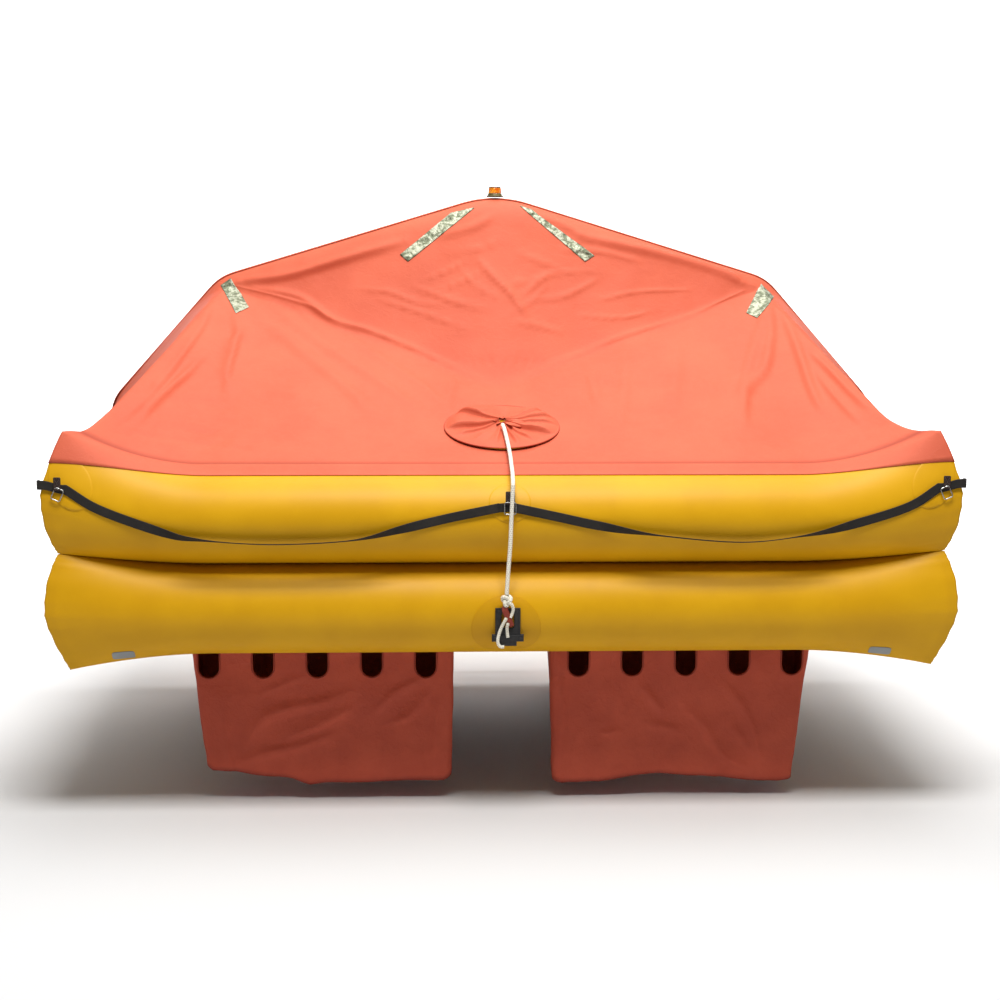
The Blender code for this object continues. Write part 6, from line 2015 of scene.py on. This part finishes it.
@dataclass
class TowPoint:
    """The towing bracket on its round patch."""

    centre: Triple = (0.004, -0.887, -0.004)

    def build(self) -> None:
        """Build the patch, the bracket, its bar and its bolts."""
        SkinPatch(Level.LOWER, "front", 0.0, -17.2, (0.093, 0.093), 0.0020).build(
            "tow_patch_cloth", TubeFabric(srgb(202, 148, 7), srgb(192, 139, 4)), "tow_patch")
        x, y, z = self.centre
        outline = np.array([
            (0.034, 0.052), (-0.034, 0.052), (-0.034, -0.020), (-0.043, -0.020),
            (-0.043, -0.040), (-0.024, -0.040), (-0.024, -0.052), (0.024, -0.052),
            (0.024, -0.040), (0.043, -0.040), (0.043, -0.020), (0.034, -0.020)])
        slot = rounded_outline(0.017, 0.020, 0.006, 6) + [0, 0.018]
        body = plate("tow_bracket_plate", [outline, slot], 0.0058, 0.0012, self.centre)
        bar = plate("tow_bracket_bar", [rounded_outline(0.0425, 0.0085, 0.002, 4)], 0.0030, 0.0009,
                    (x, y - 0.0042, z - 0.030))
        lips = [plate(f"tow_bracket_lip_{side}", [rounded_outline(0.0018, 0.034, 0.0016, 4)], 0.0016, 0.0006,
                      (x + side * 0.0305, y - 0.0036, z + 0.016)) for side in (-1, 1)]
        dress(join("tow_bracket_body", [body, bar, *lips]), MouldedPlastic(srgb(20, 18, 18), srgb(44, 40, 38)),
              "tow_bracket")
        head = np.array([(0, 0), (0.0036, 0), (0.0036, 0.0012), (0.0024, 0.0019), (0, 0.0021)])
        bolts = [turned("tow_bolt", head, Matrix.Translation((x + across, y - depth, z + up)) @ UPRIGHT, 24)
                 for across, depth, up in ((-0.0255, 0.0028, 0.0435), (0.0255, 0.0028, 0.0435),
                                           (-0.034, 0.0056, -0.030), (0.034, 0.0056, -0.030))]
        dress(join("tow_bracket_bolts", bolts), MouldedPlastic(srgb(34, 32, 32), srgb(70, 68, 66)))
        for label, sign in (("left", -1), ("right", 1)):
            SkinPatch(Level.LOWER, "front", sign * 1.032, -57.0, (0.030, 0.019), 0.0010, 6.0).build(
                f"lower_tube_patch_{label}", TubeFabric(srgb(150, 152, 150), srgb(132, 134, 134)))


@dataclass
class DoorRoll:
    """The entrance flap, rolled up and tied above the opening."""

    half_length: float = 0.40
    height: float = 0.836
    sag: float = 0.012
    radius: float = 0.032
    stand_off: float = 0.010
    inner: float = 0.010
    turns: float = 2.75
    ties: tuple[float, ...] = (-0.27, 0.0, 0.27)

    def depth(self, across: float, height: float, canopy: Canopy) -> float:
        """Return how far the steep upper panel of the canopy stands from the ridge's plane."""
        share = abs(across) / 0.852
        wrap = math.radians(58.0)
        top_y = canopy.arch_radius * math.sin(wrap)
        drop = canopy.arch_radius * (1 - math.cos(wrap))
        top_z = mix(1.172, 0.914, share) - drop
        crease_y, crease_z = mix(-canopy.crease[0], top_y, share), mix(canopy.crease[1], 0.914 - drop, share)
        return mix(crease_y, top_y, (height - crease_z) / (top_z - crease_z))

    def path(self, canopy: Canopy) -> Array:
        """Return the roll's axis."""
        points = []
        for across in np.linspace(-self.half_length, self.half_length, 41):
            height = self.height - self.sag * (1 - (across / self.half_length) ** 2)
            eased = math.hypot(across, 0.08) - 0.08
            points.append((across, self.depth(eased, height, canopy) + self.radius + self.stand_off, height))
        return evenly(smooth_line(points, 4), 90)

    def build(self, canopy: Canopy) -> None:
        """Build the rolled cloth and its ties."""
        path = self.path(canopy)
        turn = np.linspace(0, 2 * math.pi * self.turns, 100)
        share = turn / turn[-1]
        spiral = np.stack([np.cos(turn), np.sin(turn)], axis=1)
        across, upward = carried_frames(path, (0, 1, 0))
        rows = []
        for index, (point, side, up) in enumerate(zip(path, across, upward)):
            reach = mix(self.inner, self.radius - 0.0030, share)
            pinch = sum(math.exp(-((point[0] - tie) / 0.030) ** 2) for tie in self.ties)
            place = np.insert(spiral[:, ::-1] * 0.03, 0, point[0] * 0.6, axis=1)
            wrinkle = 0.0011 * soft_noise(place, 0.02, 31) * (0.4 + pinch)
            reach = reach * (1 - 0.10 * pinch) + wrinkle
            shift = np.array([0.006, 0, 0]) * (share[:, None] - 0.5) * (1 if index > len(path) // 2 else -1)
            rows.append(swept_rings(point[None], side, up, spiral * reach[:, None])[0] + shift)
        flat = distances(rows[10])
        made = make_mesh("door_roll_cloth", np.array(rows), grid_quads(len(path), len(turn)),
                         flat_places(path[:, 0] + 0.4, flat))
        dress(thicken(made, 0.0012, 0.0), CanopyFabric(), "door_roll")
        spin = full_turn(72)
        outward = np.stack([0 * spin, np.cos(spin), np.sin(spin)], axis=1)
        for index, tie in enumerate(self.ties):
            place = path[np.abs(path[:, 0] - tie).argmin()]
            loop = np.array([tie, place[1], place[2]]) + 0.0298 * outward
            strap = band(f"door_tie_{index + 1}", loop, (1, 0, 0), outward, 0.020, 0.0018, 8, True)
            dress(strap, Webbing())


@dataclass
class BoardingGear:
    """The webbing ladder behind the entrance and the grab handles beside it."""

    ladder_y: float = 0.886
    half_width: float = 0.155
    top_z: float = 0.300
    bottom_z: float = -0.400
    rungs: int = 4
    handle_x: float = 0.50
    handle_degrees: float = 38.0

    def ladder(self) -> None:
        """Build the ladder: two hanging straps with webs sewn across."""
        pieces = []
        for index in range(self.rungs):
            height = mix(self.bottom_z + 0.015, self.top_z - 0.015, index / (self.rungs - 1))
            across = np.linspace(-self.half_width - 0.013, self.half_width + 0.013, 60)
            slack = 0.010 * (1 - (across / self.half_width) ** 2) * (0.3 if index == self.rungs - 1 else 1.0)
            depth = self.ladder_y + 0.0006 + slack * 0.5
            path = np.column_stack([across, depth, height - np.clip(slack, 0, 1)])
            ahead = heading(path)
            thin = unit(np.cross(ahead, (0, 0, 1)))
            wide = unit(np.cross(thin, ahead))
            pieces.append(band(f"ladder_rung_{index + 1}", path, wide, thin, 0.029, 0.0022))
        dress(join("boarding_ladder_rungs", pieces), Webbing(), "boarding_ladder")
        for side, sign in (("left", -1), ("right", 1)):
            wave = 0.0012 * np.sin(np.linspace(0, 9.0, 90))
            path = np.column_stack([sign * self.half_width + wave, self.ladder_y - 0.0008 + wave * 0.3,
                                    np.linspace(self.top_z, self.bottom_z, 90)])
            strap = band(f"boarding_ladder_strap_{side}", path, (1, 0, 0), (0, 1, 0), 0.030, 0.0022)
            dress(strap, Webbing())

    def handles(self) -> None:
        """Build the two handles with their glued end patches."""
        up_tube = math.radians(self.handle_degrees)
        out = np.array([0, math.cos(up_tube), math.sin(up_tube)])
        for label, sign in (("left", -1), ("right", 1)):
            points = [FORM.at(Level.UPPER, "rear", sign * self.handle_x + across * 0.085, self.handle_degrees,
                              0.0036 + 0.040 * (1 - abs(across) ** 2.4)) for across in np.linspace(-1, 1, 61)]
            path = evenly(np.array(points), 80)
            ahead = heading(path)
            wide = unit(np.cross(out, ahead))
            thin = unit(np.cross(ahead, wide))
            dress(band(f"boarding_handle_{label}_web", path, wide, thin, 0.025, 0.003), Webbing(),
                  f"boarding_handle_{label}")
            for end in (-1, 1):
                SkinPatch(Level.UPPER, "rear", sign * self.handle_x + end * 0.088, self.handle_degrees,
                          (0.030, 0.026), 0.0013, 5.0).build(
                    f"boarding_handle_{label}_patch_{'inner' if end * sign < 0 else 'outer'}")

    def build(self) -> None:
        """Build the ladder and the handles."""
        self.ladder()
        self.handles()


@dataclass
class Underside:
    """The floor and what hangs under it: the gas bottle in its straps and the righting strap."""

    half_width: float = 1.0072
    half_depth: float = 0.6622
    corner: float = 0.16
    top_z: float = -0.060
    thickness: float = 0.0055
    gas: Pair = (-0.50, -0.20)
    gas_radius: float = 0.055
    gas_half: float = 0.23
    strap_place: float = 0.1104
    # Where the middle of a strap lies that is glued under the floor
    strap_top: float = -0.060 - 0.006 - GLUE_GAP - 0.00125

    def floor(self) -> None:
        """Build the floor, a stretched sheet with welded seams."""
        edge = evenly_round(rounded_outline(self.half_width, self.half_depth, self.corner, 12), 240)
        rows, flat, marks = [], [], []
        for share in np.linspace(0, 1, 28) ** 0.8:
            ring = edge * mix(1.0, 0.02, share)
            place = np.column_stack([ring, np.zeros(len(ring))])
            lift = 0.0022 * soft_noise(place, 0.30, 44) * ease(share * 6) - 0.0026
            seam = np.exp(-((np.abs(ring[:, 0]) - 0.36) / 0.010) ** 2)
            rows.append(np.column_stack([ring, self.top_z + np.minimum(lift, -0.0004) + 0.0004 * seam]))
            flat.append(ring)
            marks.append(seam)
        quads = grid_quads(len(rows), len(edge), closed_columns=True).tolist()
        middle = list(range((len(rows) - 1) * len(edge), len(rows) * len(edge)))
        made = make_mesh("floor_cloth", np.array(rows), quads + [middle], np.array(flat),
                         {"seam": np.array(marks)})
        dress(thicken(face_along(made), 0.0028, -1.0), FloorFabric(), "floor")

    def gas_bottle(self) -> None:
        """Build the bottle, its head and its two straps."""
        x, y = self.gas
        axis_z = self.top_z - 0.006 - 0.0035 - self.gas_radius
        turn = Matrix.Rotation(math.pi / 2, 4, "Y")
        bend = np.linspace(0, math.pi / 2, 10)
        foot = [(self.gas_radius * math.sin(angle), 0.030 * (1 - math.cos(angle)) - self.gas_half)
                for angle in bend]
        head = [(mix(0.020, self.gas_radius, math.cos(angle)), self.gas_half - 0.040 + 0.034 * math.sin(angle))
                for angle in bend]
        neck = [(0.0200, self.gas_half - 0.001), (0.0190, self.gas_half), (0, self.gas_half)]
        body = turned("gas_bottle", np.array([*foot, *head, *neck]),
                      Matrix.Translation((x, y, axis_z)) @ turn, 72)
        dress(body, PaintedSteel(), "gas_cylinder")
        head = turned("gas_bottle_head", np.array([
            (0, 0), (0.0118, 0), (0.0120, 0.0095), (0.0165, 0.0120), (0.0180, 0.0135), (0.0180, 0.0280),
            (0.0170, 0.0290), (0.0170, 0.0320), (0.0180, 0.0330), (0.0180, 0.0430), (0.0150, 0.0485),
            (0.0130, 0.0500), (0, 0.0500)]),
            Matrix.Translation((x + self.gas_half + 0.0004, y, axis_z)) @ turn, 72, 12, 0.0012)
        dress(head, MouldedPlastic(), "gas_head")
        reach = self.gas_radius + 0.0012 + 0.00125
        ends = [(reach + 0.030, self.strap_top), (reach + 0.012, self.strap_top),
                (reach + 0.003, self.strap_top - 0.0012), (reach, self.strap_top - 0.006)]
        line = [(-across, up) for across, up in ends]
        line += [(reach * math.cos(angle), axis_z + reach * math.sin(angle))
                 for angle in np.linspace(math.pi, 2 * math.pi, 40)]
        flat = evenly(np.array(line + ends[::-1]), 100)
        for label, sign in (("inner", 1), ("outer", -1)):
            path = np.insert(flat + [y, 0], 0, x + sign * self.strap_place, axis=1)
            wide = (1.0, 0.0, 0.0)
            thin = unit(np.cross(wide, heading(path)))
            strap = band(f"gas_strap_{label}_web", path, wide, thin, 0.050, 0.0022)
            dress(strap, Webbing(), f"gas_strap_{label}")

    def righting_strap(self) -> None:
        """Hang the righting strap across the underside."""
        across = np.linspace(-1, 1, 121)
        sag = 0.020 * (1 - across ** 2)
        path = np.stack([across * 0.96, np.full(121, 0.12), self.strap_top - sag], axis=1)
        wide = (0.0, 1.0, 0.0)
        thin = unit(np.cross(heading(path), wide))
        strap = band("righting_strap_web", path, wide, thin, 0.050, 0.0025)
        dress(strap, Webbing(), "righting_strap")

    def build(self) -> None:
        """Build the floor, the gas bottle and the righting strap."""
        self.floor()
        self.gas_bottle()
        self.righting_strap()


@dataclass
class TubeFittings:
    """The valves in the side tubes and the plate at the rear for a sea anchor."""

    valves: tuple[tuple[str, Level, str, float, float], ...] = (
        ("topping_up_valve_lower", Level.LOWER, "left", 0.42, 12.0),
        ("topping_up_valve_upper", Level.UPPER, "left", 0.36, 17.0),
        ("relief_valve_lower", Level.LOWER, "right", 0.42, 12.0),
        ("relief_valve_upper", Level.UPPER, "right", 0.36, 17.0),
    )

    def build(self) -> None:
        """Build the four valves and the plate."""
        profile = np.array([(0, 0), (0.0235, 0), (0.0240, 0.0008), (0.0240, 0.0046), (0.0228, 0.0060),
                            (0.0180, 0.0074), (0.0166, 0.0084), (0.0160, 0.0096), (0.0158, 0.0128),
                            (0.0146, 0.0139), (0.0060, 0.0140), (0.0052, 0.0132), (0, 0.0132)])
        for name, level, side, along, degrees in self.valves:
            place = FORM.at(level, side, along, degrees, 0.0010)
            sign = 1 if side == "right" else -1
            turn = Matrix.Rotation(sign * math.radians(90 - degrees), 4, "Y")
            body = turned(f"{name}_body", profile, Matrix.Translation(place) @ turn, 72, 18, 0.0008)
            dress(body, MouldedPlastic(), name)
            SkinPatch(level, side, along, degrees, (0.050, 0.050), 0.0007).build(f"{name}_patch")
        plate_x, plate_z = 0.62, 0.025
        body = plate("drogue_plate_body", [rounded_outline(0.055, 0.040, 0.006, 8)], 0.008, 0.0016,
                     (plate_x, 0.8846, plate_z))
        dress(body, MouldedPlastic(), "drogue_plate")
        head = np.array([(0, 0), (0.0046, 0), (0.0046, 0.0011), (0.0030, 0.0021), (0, 0.0024)])
        heads = [turned("drogue_bolt", head, Matrix.Translation((plate_x + x, 0.8887, plate_z + z))
                        @ UPRIGHT.inverted(), 24) for x in (-0.045, 0.045) for z in (-0.031, 0.031)]
        dress(join("drogue_plate_bolts", heads), BareSteel())


@dataclass
class Studio:
    """Camera, floor and lights."""

    location: Triple = (-0.212, -5.355, 1.0)
    pitch: float = 8.381
    yaw: float = 2.481
    roll: float = 0.2245
    focal_pixels: float = 1700.0
    floor_z: float = -0.56
    wall_y: float = 7.0
    bend: float = 3.0
    fill: float = 0.13
    key_watts: float = 400.0
    top_watts: float = 170.0
    wall_watts: float = 1100.0

    def camera(self) -> None:
        """Make the camera at the photograph's angle."""
        pitch, yaw, roll = (math.radians(each) for each in (self.pitch, self.yaw, self.roll))
        ahead = Vector((math.sin(yaw) * math.cos(pitch), math.cos(yaw) * math.cos(pitch), -math.sin(pitch)))
        right = Vector((math.cos(yaw), -math.sin(yaw), 0))
        up = right.cross(ahead)
        turned_right = right * math.cos(roll) + up * math.sin(roll)
        turned_up = up * math.cos(roll) - right * math.sin(roll)
        data = bpy.data.cameras.new("studio_camera")
        data.sensor_width = 36.0
        data.lens = self.focal_pixels * 36.0 / 1000
        data.dof.use_dof = False
        camera = add_object("studio_camera", data)
        axes = Matrix((turned_right, turned_up, -ahead)).transposed().to_4x4()
        camera.matrix_world = Matrix.Translation(self.location) @ axes
        bpy.context.scene.camera = camera

    def light(self, name: str, place: Point, target: Point, size: Pair, watts: float) -> None:
        """Hang one soft lamp."""
        data = bpy.data.lights.new(name, "AREA")
        data.shape = "RECTANGLE"
        data.size, data.size_y = size
        data.energy = watts
        lamp = add_object(name, data)
        lamp.location = place
        lamp.rotation_euler = (Vector(target) - Vector(place)).to_track_quat("-Z", "Y").to_euler()

    def build(self) -> None:
        """Lay the floor and hang the lights."""
        scene = bpy.context.scene
        scene.view_settings.view_transform = "Standard"
        angles = np.linspace(0, math.pi / 2, 33)
        corner = [(self.wall_y - self.bend * (1 - math.sin(angle)), self.bend * (1 - math.cos(angle)))
                  for angle in angles]
        line = [(-40.0, 0.0), *corner, (self.wall_y, 40.0)]
        rows = np.array([[(x, y, self.floor_z + z) for y, z in line] for x in (-60, 60)])
        cove = make_mesh("studio_cove", rows, grid_quads(2, len(line)))
        cove.data.materials.append(StudioFloor().material())
        world = bpy.data.worlds.new("studio_world")
        world.use_nodes = True
        world.node_tree.nodes["Background"].inputs["Color"].default_value = (1, 1, 1, 1)
        world.node_tree.nodes["Background"].inputs["Strength"].default_value = self.fill
        scene.world = world
        self.light("key_light", (0.1, -3.0, 5.4), (0, 0, 0.3), (2.4, 1.6), self.key_watts)
        self.light("top_light", (0.4, 0.3, 4.6), (0, 0, 0.3), (4.0, 3.0), self.top_watts)
        self.light("wall_light", (0.0, 3.0, 4.5), (0, 7.0, 1.5), (14.0, 3.0), self.wall_watts)


def main() -> None:
    """Build the raft's pieces in order."""
    studio = Studio()
    studio.camera()
    PainterLine().build()
    Lifeline().build()
    BuoyancyTubes().build()
    ArchTube().build()
    canopy = Canopy()
    canopy.build()
    CanopyTrim(canopy).build()
    PortSleeve().build()
    DoorRoll().build(canopy)
    LocatorLamp().build()
    TowPoint().build()
    BallastBags().build()
    BoardingGear().build()
    Underside().build()
    TubeFittings().build()
    studio.build()


if __name__ == "__main__":
    main()
